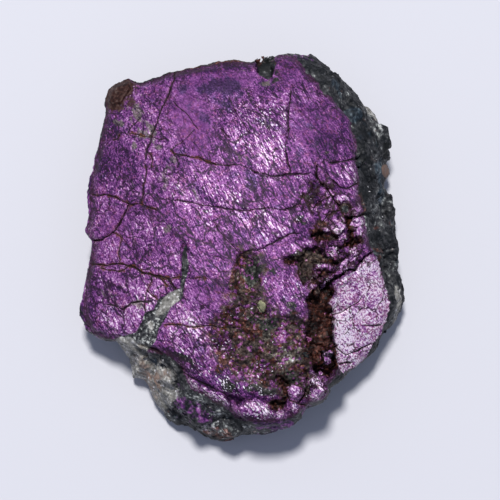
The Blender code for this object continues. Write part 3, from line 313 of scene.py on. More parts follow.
# Soft patches, of tint and of ground: x, y, half length, half width, turn in degrees, strength. Those whose
# names start with rock, and black, pale, peach and pebble, are on the rock, and the others on the face.
PATCHES = {
    # Lighter tone: mostly painted light and painted highlights where the face, the crest, the ledge and the fragments
    # catch the light, and where the lower left is lifted against its shading; partly lighter purple
    "painted_light_and_lighter_tone": [
        (-0.4, 8.6, 1.3, 3, 20, 0.6), (1.6, 6.4, 1.4, 2.4, 20, 0.8), (-3.2, 3.8, 2.6, 1.6, -25, 0.35),
        (1.4, 1.2, 3, 1.7, -10, 0.6), (-2.3, 1.4, 3, 1.8, -35, 0.5), (8.2, 5.3, 0.8, 1, 0, 0.9),
        (7.6, 3.05, 0.6, 0.35, 0, 1), (6.2, 11, 1.5, 0.7, -35, 0.5), (3.1, 9.6, 0.35, 1, 0, 1),
        (3, 6.7, 0.3, 0.7, 0, 1), (4.6, 8.6, 1.6, 1.9, 0, 0.15), (-4.4, -7.7, 0.8, 1.3, 35, 0.5),
        (-8.9, -5.6, 3.2, 2.4, 0, 1.5), (-4.3, -7.2, 2, 2.6, 30, 1.7), (-9.6, -0.6, 2.4, 1.8, 0, 0.45),
        (-6.4, -0.6, 1.6, 1.8, 0, 0.5), (-2.4, -8.8, 1.8, 1.3, -30, 1.3), (7, -1.3, 0.8, 0.6, 0, 0.9),
        (6.2, -2.6, 0.8, 0.4, 15, 0.7), (9, 1.4, 0.5, 0.4, 0, 0.9), (7.5, 0.7, 0.5, 0.4, 0, 0.8),
        (9.1, 0.6, 0.5, 0.3, 0, 0.7), (2.5, -4.6, 1.7, 1.3, -20, 0.45), (-5.6, 9.5, 1.6, 2.6, 20, 0.1),
        (8, 2.3, 0.6, 0.6, 0, 0.6), (-3.9, -11.6, 0.6, 0.3, -40, 1.4), (-2.6, -12.2, 0.9, 0.35, -28, 1.4),
        (-1.5, -12.8, 0.5, 0.35, -40, 1.4), (1.2, -13.3, 1.3, 0.5, -8, 1.4), (3, -13.75, 0.5, 0.3, 0, 1.2),
        (6, -11.1, 0.9, 0.5, 0, 0.7), (4.1, -12.1, 0.6, 0.6, 0, 1), (5.9, -12.2, 0.7, 0.8, 0, 1),
        (4.3, -13.3, 0.4, 0.6, -40, 0.7), (-9.6, -3.2, 2, 0.6, -10, 0.2)],
    # Painted shade and darker tone: painted shade in the valley and along the foot of the crest and on the wall under
    # the ledge, and darker purple elsewhere
    "shade": [
        (-11.7, 8.2, 1.2, 3.6, -12, 0.8), (-10.3, 6.4, 1.6, 1.6, 0, 0.6), (-9, 5.2, 1, 1.6, 0, 0.4),
        (-12.4, 3.6, 0.6, 2.4, 0, 0.5), (-12.4, -3.6, 0.6, 3, 0, 0.45), (-2, 14, 5.5, 0.6, 4, 0.9),
        (-6, 13.4, 2, 0.5, 12, 0.7), (-10.8, 11, 1, 1.4, 0, 0.5), (4.6, 5.9, 1.6, 0.9, 25, 0.55),
        (6.3, 7.4, 1.4, 1.6, 0, 0.85), (6.6, 9.6, 2, 2.2, 0, 0.4), (5.6, 3.8, 1.2, 1.2, 0, 0.7),
        (5, 2.6, 1.4, 0.9, 20, 0.4), (7.9, 8, 1, 1.8, 0, 0.55), (2.3, 12.2, 1.6, 0.8, 0, 0.7),
        (7.2, 9.9, 1.2, 1.6, 0, 0.3), (3.3, 13.6, 1.2, 1.6, 0, 0.25), (2.8, -7, 1.9, 0.9, 0, 1),
        (-5.4, -9.2, 1.6, 0.5, -35, 0.7), (-2.2, -10.6, 2.4, 0.5, -30, 0.4), (-0.4, -0.6, 1.3, 0.6, 20, 0.35),
        (-2.3, -3.9, 2.6, 0.5, -5, 0.45), (-9.7, -4.7, 1.4, 0.6, -5, 0.45), (-11.2, -4, 1, 0.8, 0, 0.5),
        (-6.9, 2.6, 1.1, 1.5, 30, 0.3), (-4.6, 4.3, 1.5, 0.5, -50, 0.3), (0.6, -1.9, 1.5, 0.9, 0, 0.6),
        (4.9, 0.7, 1.4, 0.5, 15, 0.7), (6.4, 1.6, 1.1, 0.6, 40, 0.6), (3.7, -0.4, 1.4, 0.4, 20, 0.5),
        (-4.1, -8.7, 1.7, 0.4, -35, 0.5), (-3, -11.3, 1.4, 0.2, -28, 1), (-0.9, -12.5, 0.7, 0.3, -20, 1.6),
        (-0.3, -13, 0.5, 0.4, 0, 1.4), (2.6, -13, 0.6, 0.4, 0, 1.8), (1.4, -14.25, 2.2, 0.16, -2, 2),
        (-2.9, -12.75, 1.6, 0.16, -30, 1.8), (1, -12.5, 1.2, 0.16, 0, 1), (3.3, -12.3, 0.4, 0.8, 0, 1.4),
        (4.9, -12.2, 0.4, 0.7, 0, 0.9)],
    "blue": [
        (-1.9, 12.3, 1.9, 0.7, 5, 1), (-5, 12.2, 0.7, 0.8, 0, 0.8), (-3.9, 11.4, 0.9, 0.6, -30, 0.6),
        (-1.4, 11.3, 1.4, 1, 0, 0.5), (-3.3, 9.9, 0.6, 1.2, 20, 0.5), (-4.4, 10.6, 0.8, 0.6, 0, 0.5),
        (-0.2, 4.6, 1.6, 0.9, -20, 0.35), (4.6, 8, 1.6, 2.2, 0, 0.2), (2.6, -8, 0.5, 0.9, 0, 0.9),
        (-1.6, -4.2, 2.4, 0.6, 0, 0.35), (-10.8, -5.6, 0.9, 0.7, 0, 0.5), (-3.4, -8.8, 0.8, 0.8, 0, 0.4),
        (10.4, -4.4, 0.8, 1.2, 0, 0.3), (-2.4, -6, 1.6, 0.8, 0, 0.3)],
    "olive": [
        (-10.35, 9.6, 0.6, 0.4, 0, 1.3), (-8.9, 7.4, 0.3, 0.7, -20, 0.9), (-7.9, 8.6, 1, 0.8, 0, 0.8),
        (-7, 7.4, 0.6, 0.5, 0, 0.8), (-6.1, 5.2, 0.5, 1.6, -20, 0.6), (-4.4, 3.4, 0.6, 1, 40, 0.45),
        (-8.9, 10.2, 0.7, 1.3, 20, 0.65), (-6.1, 0.3, 0.35, 0.6, 20, 0.8), (-10.9, -4.2, 0.9, 0.5, 0, 0.55),
        (1.6, 12.6, 0.4, 0.3, 0, 1), (-0.2, 6.3, 1.3, 0.6, -25, 0.5), (1.9, 8.9, 0.9, 0.5, 0, 0.4),
        (-8.6, -5.3, 0.6, 0.35, 20, 0.8), (-9, 4, 0.8, 0.8, 0, 0.4), (-6.9, -1.9, 0.5, 0.8, 0, 0.4),
        (3.4, -9.2, 1.8, 1.3, 0, 0.8), (0.4, -8.9, 1.1, 0.7, 0, 0.5), (1.8, -7.6, 0.5, 0.7, 0, 1.3),
        (6.3, -10.1, 0.7, 0.5, 0, 0.8), (-6.6, 4.4, 0.5, 0.5, 0, 0.4), (1, -2.2, 0.8, 0.5, 0, 0.5),
        (0.2, 11.3, 0.6, 0.5, 0, 0.35)],
    "rust": [
        (-0.6, -3.4, 0.9, 1.9, -10, 0.8), (-1.2, -6.4, 1.5, 0.9, 0, 0.9), (0.9, -7.2, 1.5, 1.1, 0, 0.9),
        (-1.3, -9.6, 1.6, 0.8, -15, 0.9), (-2.3, -7.6, 1, 1.2, 0, 0.75), (-2.2, -10.4, 0.6, 0.4, 0, 1),
        (1.5, -9.6, 1.4, 1, 0, 0.7), (4.6, -8.2, 0.8, 1.6, 0, 0.8), (4.4, -10.8, 1.6, 0.5, 0, 0.8),
        (6.2, 0.9, 1.2, 0.6, 20, 0.8), (4.3, 1.2, 0.8, 0.5, 0, 0.6), (6, -3.3, 0.8, 0.6, 0, 0.9),
        (6.5, -4.2, 0.5, 0.6, 0, 1), (9.3, 0, 0.6, 0.5, 0, 0.7), (-10.5, 12, 0.7, 0.8, 0, 0.8),
        (8.8, -8.9, 0.7, 0.25, 20, 0.9), (7.3, 1.9, 0.5, 0.6, 0, 0.5), (2.3, -6.4, 0.8, 0.5, 0, 0.6),
        (-3.8, -7.8, 1.4, 1.4, 0, 0.4), (-2.9, -9.4, 1.2, 0.8, -30, 0.5), (-9.6, -5.2, 1.6, 1, 0, 0.3),
        (-7, -0.6, 1.6, 1.2, 0, 0.3), (-2.4, -5, 1.4, 1.2, 0, 0.35), (0.2, -5.4, 0.7, 0.6, 0, 0.6),
        (5.6, 4.6, 0.6, 1.2, 0, 0.5), (1.8, 14.2, 1.6, 0.5, 0, 0.4), (-3.2, 14.2, 2.6, 0.4, 0, 0.5),
        (5.4, -11.4, 1.2, 0.5, 0, 0.6)],
    # Painted glitter: where the painted glints crowd
    "painted_glitter": [
        (-1.2, -11.3, 1.5, 0.5, -32, 1), (1.2, -11.9, 1.5, 0.5, -8, 1), (-3.4, -10.4, 1, 0.4, -30, 0.6),
        (1.6, -3.9, 0.3, 0.5, 0, 0.7), (3.8, -4.2, 0.3, 0.7, -20, 0.7), (4.2, -5.2, 0.7, 0.6, 0, 0.4),
        (6.8, -12.05, 0.25, 0.25, 0, 1), (2, 10.4, 0.9, 0.8, 0, 0.4), (-0.9, 3, 0.9, 0.7, -30, 0.5),
        (2.2, 9.1, 0.4, 0.3, 0, 0.7), (-11.3, 9, 0.15, 0.4, 20, 0.9), (1, -13.9, 1.6, 0.35, -5, 0.7),
        (-1.2, -9, 0.4, 0.3, 0, 0.5), (-7.9, -9.4, 0.7, 0.4, -35, 0.8), (-6.2, -9.8, 0.4, 0.25, -35, 0.5)],
    "broken": [
        (7.4, -0.6, 2.2, 3.4, -10, 1), (6, 3.2, 1.6, 2, 0, 0.7), (5.9, -3.3, 1.2, 1, 0, 1),
        (5.6, -11.6, 1.6, 1, 0, 0.8)],
    "crystal": [(1.35, -5.5, 0.34, 0.5, 15, 1.3)],
    "pebble": [(11.9, 6.5, 0.55, 0.65, 0, 1.3)],
    "black": [
        (1.6, 14.3, 0.9, 1.2, 0, 0.7), (11.9, 7.9, 0.45, 0.7, 0, 1), (-10.7, 12.6, 0.9, 0.8, 0, 0.6),
        (10.9, 8.2, 0.5, 0.8, 0, 0.6)],
    "knob": [(-10.5, 12.5, 1.6, 1.3, 10, 1.4), (-10.6, 11.3, 0.9, 0.9, 0, 1), (-9.3, 11.2, 0.5, 0.7, 0, 0.6)],
    # Light lilac shards: small fragments, their light colour partly painted highlight where their facets catch the
    # light
    "shard": [
        (6.75, -9, 0.45, 0.3, 0, 1.3), (6.75, -9.5, 0.35, 0.35, 0, 1.3), (4.05, -11.9, 0.6, 0.45, -25, 1.1),
        (6.3, -10.35, 0.3, 0.25, 0, 0.9), (5.85, -12.1, 0.6, 0.6, 0, 0.75), (7, -11.85, 0.25, 0.2, 0, 0.9),
        (8.9, 1.25, 0.6, 0.42, 5, 0.9), (9.1, 0.58, 0.5, 0.42, 20, 0.9), (7.6, 0.85, 0.55, 0.42, 0, 0.8),
        (7.75, 0, 0.42, 0.45, 0, 0.7), (8.9, 2.2, 0.7, 0.5, 10, 0.55), (7.7, 3.25, 0.6, 0.25, 0, 0.8),
        (6.3, -3.7, 0.45, 0.2, 30, 0.8), (7.9, -2.05, 0.8, 0.26, 42, 0.75), (8.7, -1.5, 0.7, 0.24, 42, 0.7),
        (9.7, -0.95, 0.3, 0.4, 40, 0.6), (7, -1, 0.6, 0.35, 0, 0.55), (6, -2.25, 0.6, 0.25, 10, 0.6)],
    "dark_grain": [
        (0.5, -2.9, 0.6, 1.7, -12, 1), (1.6, -6.7, 1.2, 0.7, 0, 1), (3.9, -5.7, 0.7, 0.8, 0, 0.8),
        (3.6, -11, 0.8, 0.5, 0, 0.9), (4.9, -11.9, 0.5, 0.7, 0, 0.9), (2.2, -2.95, 0.5, 0.25, 0, 1.4),
        (1.4, -11.9, 1.6, 0.5, 0, 1), (-1.2, -11.4, 1, 0.6, -20, 0.9), (7.9, 2.3, 0.5, 0.5, 0, 1.3),
        (5, 3.3, 0.7, 0.9, 0, 0.6), (4.6, 1.2, 0.7, 0.5, 0, 0.7), (-4.6, -9.6, 1.4, 0.5, -40, 0.8),
        (6.2, 6.8, 0.4, 0.9, 10, 0.5), (2.3, 12.9, 0.5, 0.9, 0, 0.8), (1.6, 8.8, 0.7, 0.4, -30, 0.5),
        (4.9, -1.6, 1.6, 0.7, 0, 1), (4.9, -2.8, 0.6, 1, 0, 1), (-2.9, 2, 0.9, 0.4, -40, 0.5),
        (-4, 2.2, 0.6, 0.4, -30, 0.5), (-9.9, -4.6, 0.9, 0.4, 0, 0.5)],
    "field_purple": [
        (2.8, -7.8, 0.6, 0.9, 0, 1.2), (4.8, -7.4, 0.5, 0.5, 0, 1), (-1.8, -8.6, 1.2, 1, 0, 1),
        (0.6, -10.4, 2, 0.7, 0, 0.8), (3.4, -9.6, 0.9, 0.8, 0, 0.7), (-1, -6.3, 1, 0.6, 0, 0.4),
        (5.6, -9.2, 0.4, 0.8, 0, 0.8), (4.9, -5.9, 0.6, 0.6, 0, 0.9), (0.2, -5.9, 0.6, 0.5, 0, 0.7),
        (1.6, -2.4, 0.5, 0.8, 0, 0.6), (0.3, -3.1, 0.3, 0.3, 0, 0.6)],
    # Painted highlights: lighter slivers and facets where the crest, the ledge, the knobs, the fragments and the sides
    # of cracks catch the light
    "painted_highlight": [
        (-3.95, -11.5, 0.6, 0.28, -40, 1), (-2.75, -12.1, 0.9, 0.3, -27, 1), (-1.6, -12.7, 0.6, 0.3, -42, 1),
        (0.9, -13.15, 1, 0.35, 5, 1), (1.9, -13.5, 0.6, 0.3, -40, 1), (1.3, -13.9, 1.2, 0.25, -3, 0.7),
        (3, -13.7, 0.45, 0.25, 0, 1), (4.05, -11.9, 0.55, 0.5, 0, 0.8), (5.85, -12.1, 0.6, 0.55, 0, 1.1),
        (5.7, -11.1, 0.9, 0.45, -50, 1), (4.1, -13.2, 0.3, 0.55, -30, 0.9), (7, -1.1, 0.55, 0.4, 0, 0.8),
        (6.8, -3.2, 0.55, 0.25, 30, 1.2), (8.6, -1.6, 0.8, 0.2, 40, 0.9), (9.2, 1.2, 0.4, 0.35, 20, 1.1),
        (7.7, 0.9, 0.4, 0.35, 0, 0.9), (7.7, 3.15, 0.55, 0.2, 0, 1.3), (7.9, -0.1, 0.4, 0.3, 0, 0.8),
        (5.2, -0.45, 0.5, 0.2, 10, 0.7), (9.3, 0.3, 0.35, 0.2, 0, 0.9), (3.1, 9.8, 0.14, 0.9, 0, 1),
        (2.95, 6.5, 0.16, 0.7, 0, 1.2), (4.5, 4.72, 0.7, 0.14, 0, 0.9), (2.3, 4.55, 0.8, 0.14, 0, 0.6),
        (-0.8, 8, 0.5, 1.3, 25, 0.2), (1.6, 6.6, 0.4, 1.3, 20, 0.25), (0.6, 9.4, 0.4, 1, 25, 0.2),
        (4.2, -0.6, 0.8, 0.3, 25, 0.5), (8.3, 5.6, 0.5, 0.3, 0, 0.5), (8.9, 4.9, 0.3, 0.4, 0, 0.6),
        (-7.3, -8.1, 0.3, 0.5, 20, 0.6), (-4, -7, 0.5, 0.9, 35, 0.5), (2.9, -5.8, 0.5, 0.3, -30, 0.5),
        (6.1, -2.35, 0.6, 0.2, 10, 0.6), (6.8, 11.2, 0.9, 0.25, -45, 0.4), (4.4, -4.1, 0.3, 0.7, 15, 0.5)],
    "bare": [(1.7, 14.2, 0.8, 1.2, 0, 1.3), (8, 2.3, 0.35, 0.35, 0, 1)],
    "streaked": [
        (1.3, -13.4, 1.2, 0.6, 0, 1), (-2.6, -12.2, 1.6, 0.4, -30, 0.8), (4.1, -12.1, 0.6, 0.6, 0, 1),
        (6, -12.3, 0.7, 0.7, 0, 0.8), (6, -11.1, 0.9, 0.6, 0, 0.7), (8.2, 5.2, 0.8, 1, 0, 0.7),
        (7.6, 3.1, 0.7, 0.4, 0, 1), (3, 6.6, 0.4, 0.9, 0, 1), (3.6, -4.3, 1.2, 1.2, 0, 0.6),
        (9.9, -3, 1.4, 1.6, 0, 0.3), (9.2, -9.3, 0.8, 0.5, 20, 1), (0.8, 8.2, 2.4, 3.6, 20, 1),
        (-2.8, 3.4, 2.6, 1.4, -25, 0.8), (1.6, 1.2, 3.2, 1.6, -10, 0.8), (8, -7.4, 0.9, 2.6, 0, 1),
        (-4.2, -8.2, 1.2, 1.6, 35, 0.6), (3, 9.4, 0.5, 1.4, 0, 1)],
    "calm": [
        (-4.3, 9.7, 2, 3.2, 15, 1), (5.8, 9, 2.6, 2.4, 0, 0.5), (-10.2, 1.4, 1.6, 1.2, 0, 0.5),
        (-7, 12, 1.2, 1, 0, 0.6), (-2.6, 12.8, 4.4, 1.4, 5, 0.8), (3.2, 13.4, 2.4, 1.4, 0, 0.6),
        (-2.6, -4.4, 2, 0.8, 0, 0.5)],
    "pale": [
        (-5.9, -5.3, 1.5, 0.75, 48, 1), (-8.3, -8.6, 0.9, 0.6, -20, 0.8), (-7.5, -7, 0.6, 0.6, 0, 0.6),
        (10.6, 11.4, 0.5, 1.6, 35, 0.8), (12.6, -5, 0.35, 2.6, 0, 0.8), (11.3, 6.9, 0.5, 2, -10, 0.35)],
    "peach": [(-7.3, -10.6, 0.8, 1.6, 30, 1), (-8.4, -9, 0.6, 0.5, 0, 0.6), (-5.8, -10.6, 0.8, 0.5, 0, 0.8)],
    "rock_pale": [
        (-7.3, -7.4, 0.8, 1, 20, 0.9), (11, 9.6, 0.7, 2.2, 25, 1), (10.6, 4.5, 0.8, 2.6, 0, 0.5),
        (11.4, 2, 0.5, 2, 0, 0.8), (12.2, -2.4, 0.4, 2.6, 0, 1), (8.2, 12.6, 0.8, 0.6, -45, 0.6),
        (-2, -14.6, 2, 0.7, -15, 0.8), (-3, -13, 2, 0.6, -35, 0.9), (1.8, -14.9, 2.4, 0.4, 0, 0.8),
        (-8.4, -8.1, 0.9, 0.5, 20, 0.7), (2, -12, 1, 0.5, 0, 0.4)],
    # Darker rock, and painted shadow on the wall under the bottom ledge
    "rock_dark_and_shade": [
        (1.6, -14.45, 2.4, 0.3, -2, 1.6), (9.6, 10.4, 0.8, 2.4, 35, 0.8), (-4.8, -1.8, 0.5, 2, 0, 1),
        (9.9, 6.6, 0.7, 5, 8, 1), (7, 13.4, 1.6, 0.9, -40, 0.8), (10.4, -0.6, 1, 1.6, 0, 0.7),
        (-6.8, -9.3, 1.3, 0.5, -35, 1), (12.2, 6.9, 0.4, 1.6, 0, 0.8), (1, 14.8, 0.9, 0.9, 0, 0.6)],
    "rock_blue": [
        (9.4, 9.9, 0.9, 1.8, 30, 1), (7.8, 12.3, 1.2, 0.8, -45, 1), (11.1, 5.5, 0.7, 2, 0, 1),
        (-7.2, -9.2, 1.4, 0.6, -35, 0.6)],
    "rock_rust": [
        (-3, 14.3, 6, 0.7, 4, 1), (-10.8, 12.3, 1.2, 1.1, 0, 1), (0.6, 14.6, 0.9, 0.6, 0, 0.7),
        (9.3, 2.6, 0.6, 1.4, 0, 0.5), (-1.5, -15.2, 2, 0.5, -15, 0.6), (10.8, -1, 0.8, 1, 0, 0.5),
        (12, 6.3, 0.6, 0.6, 0, 0.6)],
    "rock_violet": [
        (-12.6, 3, 0.9, 9, 0, 1), (-12.9, -4.4, 0.7, 3, 0, 1), (-11.6, -7.2, 1.4, 0.5, -10, 1),
        (2.4, -14.5, 2.2, 0.5, -3, 1.2), (-4, -13.3, 2.6, 0.9, -35, 0.75), (4.9, -13, 0.8, 0.8, -40, 0.8),
        (4.6, 15, 1.6, 0.5, 0, 0.7), (-5.4, -12, 0.7, 0.8, 0, 0.8)],
}

# The patches whose places are exact, where the others wander
SHARP_PATCHES = ["painted_highlight", "crystal", "pebble", "shard", "bare", "knob"]

# The height of the middle of the pebble, and the reach over which it fades above and below
PEBBLE_LEVEL = 3.2
PEBBLE_REACH = 1.2

# The hollows whose walls and floors are brown
BROWN_HOLLOWS = ["gully beside the plate", "middle hollow", "hole under it", "hole by the right rim",
                 "holes along the rim", "dull patch above them", "hole above the ledge", "gap beside the knobs"]

# The pale flank below the vein: x, y
PALE_FLANK = [
    (-10.4, -7.8), (-9, -7.7), (-7.6, -9.1), (-6.4, -9.9), (-5.4, -11), (-5, -12.2), (-6.4, -13.6),
    (-7.2, -13.2), (-9.6, -11.2), (-10.6, -9),
]


def mix(a, b, share):
    return a + (b - a) * share


def smooth(value):
    """A rise from 0 to 1 with level ends."""
    t = np.clip(value, 0, 1)
    return t * t * (3 - 2 * t)


def nearest_on(x, y, path, closed=False):
    """How far each point lies from a path, and on which side of it: 1 on the left, -1 on the right."""
    corners = np.array(path + path[:1] if closed else path, float)
    nearest, side = np.full(len(x), np.inf), np.ones(len(x))
    for (ax, ay), (bx, by) in zip(corners[:-1], corners[1:]):
        dx, dy = bx - ax, by - ay
        along = np.clip(((x - ax) * dx + (y - ay) * dy) / (dx * dx + dy * dy), 0, 1)
        far = np.hypot(x - ax - along * dx, y - ay - along * dy)
        closer = far < nearest
        side = np.where(closer, np.sign(dx * (y - ay) - dy * (x - ax)), side)
        nearest = np.where(closer, far, nearest)
    return nearest, side


def within(x, y, outline):
    """Distance to an outline: above zero inside it, below zero outside."""
    inside = np.zeros(len(x), bool)
    for (ax, ay), (bx, by) in zip(outline, outline[1:] + outline[:1]):
        if ay != by:
            inside ^= ((ay > y) != (by > y)) & (x < (bx - ax) * (y - ay) / (by - ay) + ax)
    return np.where(inside, 1, -1) * nearest_on(x, y, outline, closed=True)[0]


def lattice(i, j, k, seed):
    """A repeatable number from -1 to 1 for each whole-number place."""
    h = (i * 374761393 + j * 668265263 + k * 1442695041 + seed * 974634777) & 0xFFFFFFFF
    h = ((h ^ (h >> 13)) * 1274126177) & 0xFFFFFFFF
    return ((h ^ (h >> 16)) & 0xFFFF) / 32767.5 - 1


def noise(points, size, seed):
    """Smooth noise from -1 to 1 whose lumps are about this size."""
    turned = points @ np.array([(0.8, 0.48, -0.36), (-0.6, 0.64, -0.48), (0, 0.6, 0.8)])
    base = np.floor(turned / size).astype(np.int64)
    part = smooth(turned / size - base)
    total = 0
    for corner in range(8):
        step = np.array([corner & 1, corner >> 1 & 1, corner >> 2])
        weight = np.prod(np.where(step, part, 1 - part), axis=1)
        total = total + weight * lattice(*(base + step).T, seed)
    return total


def lumps(points, sizes, seed):
    """Noise of several sizes, each given as its height and its size."""
    return sum(height * noise(points, size, seed + k) for k, (height, size) in enumerate(sizes))


def blocks(points, size, seed):
    """Broken grains of about this size: a height that slopes within each, its number and how far its joint is."""
    base = np.floor(points / size).astype(np.int64)
    nearest, second = np.full((2, len(points)), np.inf)
    height, number = np.zeros((2, len(points)))
    for place in np.ndindex(3, 3, 3):
        cell = (base + np.array(place) - 1).T
        middle = np.stack([cell[k] + 0.5 + 0.4 * lattice(*cell, seed + k) for k in range(3)], axis=-1)
        offset = points / size - middle
        far = (offset ** 2).sum(axis=1)
        closer = far < nearest
        slope = sum(BLOCK_TILT * lattice(*cell, seed + 3 + k) * offset[:, k] for k in range(3))
        second = np.where(closer, nearest, np.minimum(second, far))
        nearest = np.where(closer, far, nearest)
        number = np.where(closer, lattice(*cell, seed + 6), number)
        height = np.where(closer, 0.6 * number + slope, height)
    return height, number, (np.sqrt(second) - np.sqrt(nearest)) * size


def rubble(points, sizes, seed, share):
    """Broken grains of several sizes, each given as its height and its size, where the share isn't 0."""
    lift, where = np.zeros(len(points)), share > 0
    for k, (height, size) in enumerate(sizes):
        lift[where] += height * share[where] * blocks(points[where], size, seed + 10 * k)[0]
    return lift


def spoke(outline, bearings):
    """Distance from the middle, and height if the outline has one, along each bearing."""
    points = np.array(outline, float)
    angle = np.arctan2(points[:, 1], points[:, 0])
    values = [np.hypot(points[:, 0], points[:, 1])] + list(points[:, 2:].T)
    return [np.interp(bearings, angle, value, period=2 * np.pi) for value in values]


def inside_of(outline, x, y):
    """How far each point would have to move away from the middle to reach an outline."""
    return spoke(outline, np.arctan2(y, x))[0] - np.hypot(x, y)


def dome(x, y):
    """Height of the cleaved face before its steps, hollows and cracks: flatter towards the left."""
    across = (x - DOME_TOP[0]) / DOME_REACH[0]
    along = (y - DOME_TOP[1]) / DOME_REACH[1]
    bend = np.where(across < 0, *DOME_BENDS)
    return DOME_TOP[2] - DOME_DROP[0] * np.abs(across) ** bend - DOME_DROP[1] * along ** 2


def rim_roll(inside):
    """How far the face drops towards its edge, from the distance to it."""
    return RIM_DROP * smooth(1 - inside / RIM_WIDTH)


def face_level(x, y, narrow=1.0):
    """Height of the cleaved face and of its plate, before anything is sunk into them."""
    swell = lumps(np.stack([x, y, 0 * x], axis=-1), FACE_SWELL, 1)
    px, py, pz = PLATE_POINT
    slab = pz + PLATE_SLOPES[0] * (x - px) + PLATE_SLOPES[1] * (y - py) + PLATE_SWELL * swell
    return mix(dome(x, y) + swell, slab, smooth(0.5 + within(x, y, PLATE) / (PLATE_WALL * narrow)))


def nearest_crack(x, y):
    """The crack that is nearest: the distance to it, its side, depth, half width and rust. Its line wanders."""
    flat = np.stack([x, y, 0 * x], axis=-1)
    wx, wy = x + lumps(flat, CRACK_WANDER, 51), y + lumps(flat, CRACK_WANDER, 54)
    swell = 1 + CRACK_SWELL[0] * noise(flat, CRACK_SWELL[1], 57)
    best = np.array(NO_CRACK, float)[:, None] * np.ones(len(x))
    for depth, half_width, rust, path in CRACKS.values():
        far, side = nearest_on(wx, wy, path)
        best = np.where(far < best[0], np.broadcast_arrays(far, side, depth, half_width * swell, rust), best)
    return best


def face_height(x, y, narrow=1.0):
    """Height of the cleaved face, with all that is sunk into it and stands on it."""
    z = face_level(x, y, narrow)
    flat = np.stack([x, y, 0 * x], axis=-1)
    ragged = lumps(flat, RAGGED, 3) + lumps(flat, EDGE_CRUMBS, 5)
    for sign, forms in ((-1, HOLLOWS), (1, LUMPS)):
        for height, wall, outline in forms.values():
            z = z + sign * height * smooth(0.5 + (within(x, y, outline) + ragged) / (wall * narrow))
    far, side, depth, half_width, _ = nearest_crack(x, y)
    groove = 0.75 * smooth(1.6 - far / half_width) + 0.25 * smooth(1 - far / (4 * half_width))
    step = side * CRACK_TILT[0] * smooth(1 - far / CRACK_TILT[1]) * smooth(5 * depth)
    return z + step - depth * groove


def lofted_rings():
    """Rings of points from the middle of the face, over the rim and the widest line, to the base."""
    bearings = np.linspace(-np.pi, np.pi, SPOKES, endpoint=False)
    cos, sin = np.cos(bearings), np.sin(bearings)
    wide, wide_z = spoke(WIDEST, bearings)
    rim = np.minimum(spoke(FACE_RIM, bearings)[0], wide - FLANK_WIDTH)
    foot = spoke(FOOT, bearings)[0]
    hollow = np.interp(np.degrees(bearings) % 360, *np.array(HOLLOWNESS).T, period=360)
    rings = []
    for share in np.linspace(0, 1, FACE_RINGS + 1)[1:]:
        x, y = rim * share * cos, rim * share * sin
        rings.append((x, y, face_height(x, y) - rim_roll(rim * (1 - share))))
    rim_z = rings[-1][2]
    for share in np.linspace(0, 1, FLANK_RINGS + 1)[1:]:
        late, early = 1 - np.cos(share * np.pi / 2), np.sin(share * np.pi / 2)
        r = mix(rim, wide, mix(share, early, 0.5))
        rings.append((r * cos, r * sin, mix(rim_z, wide_z, mix(share, late, 0.5))))
    for share in np.linspace(0, 1, UNDER_RINGS + 1)[1:]:
        late, early = 1 - np.cos(share * np.pi / 2), np.sin(share * np.pi / 2)
        r = mix(wide, foot, mix(late, early, hollow))
        rings.append((r * cos, r * sin, mix(wide_z, FOOT_LEVEL, mix(early, late, hollow))))
    for share in np.linspace(1, 0, BASE_RINGS + 1)[1:-1]:
        rings.append((foot * share * cos, foot * share * sin, np.full(SPOKES, FOOT_LEVEL)))
    return rings


def lofted_mesh():
    """A closed mesh over the rings, with a point at the middle of the face and of the base."""
    rings = lofted_rings()
    points = [(0, 0, float(face_height(np.zeros(1), np.zeros(1))[0])), (0, 0, FOOT_LEVEL)]
    points += [tuple(p) for ring in rings for p in np.stack(ring, axis=1)]
    faces = []
    last = 2 + (len(rings) - 1) * SPOKES
    for i in range(SPOKES):
        j = (i + 1) % SPOKES
        faces += [(0, 2 + i, 2 + j), (1, last + j, last + i)]
        faces += [(row + i, row + SPOKES + i, row + SPOKES + j, row + j) for row in range(2, last, SPOKES)]
    mesh = bpy.data.meshes.new("loft")
    mesh.from_pydata(points, [], faces)
    return mesh


def placed(name, data):
    """A new object in the scene that shows this data."""
    made = bpy.data.objects.new(name, data)
    bpy.context.scene.collection.objects.link(made)
    return made


def applied(obj, kind, **settings):
    """Puts one modifier on the object and replaces its mesh with the result."""
    modifier = obj.modifiers.new(kind, kind)
    for name, value in settings.items():
        setattr(modifier, name, value)
    graph = bpy.context.evaluated_depsgraph_get()
    mesh = bpy.data.meshes.new_from_object(obj.evaluated_get(graph))
    obj.modifiers.clear()
    obj.data = mesh


def arrays(mesh):
    """The mesh's points and the directions in which its surface faces there."""
    found = []
    for name in ("co", "normal"):
        values = np.empty(len(mesh.vertices) * 3, np.float32)
        mesh.vertices.foreach_get(name, values)
        found.append(values.reshape(-1, 3).astype(float))
    return found


def move_points(mesh, points):
    mesh.vertices.foreach_set("co", points.astype(np.float32).ravel())
    mesh.update()


def rock_share(points, normals):
    """1 on the flanks and the underside, 0 on the cleaved face."""
    x, y, z = points.T
    over = smooth((ROCK_EDGE[0] - inside_of(FACE_RIM, x, y)) / ROCK_EDGE[1])
    below = smooth(dome(x, y) - ROCK_DEPTH - z)
    return np.maximum.reduce([over, below, smooth(-3 * normals[:, 2])])


def above_foot(z, reach):
    """0 at the base of the stone, 1 from this far above it."""
    return smooth((z - FOOT_LEVEL - 0.1) / reach)


def free_share(points):
    """How far the rock may be moved: less at its widest line, which keeps its outline, and not at its base."""
    x, y, z = points.T
    edge = 1 - 0.6 * smooth(1 - np.abs(inside_of(WIDEST, x, y)) / 0.9)
    return edge * above_foot(z, 1.1)


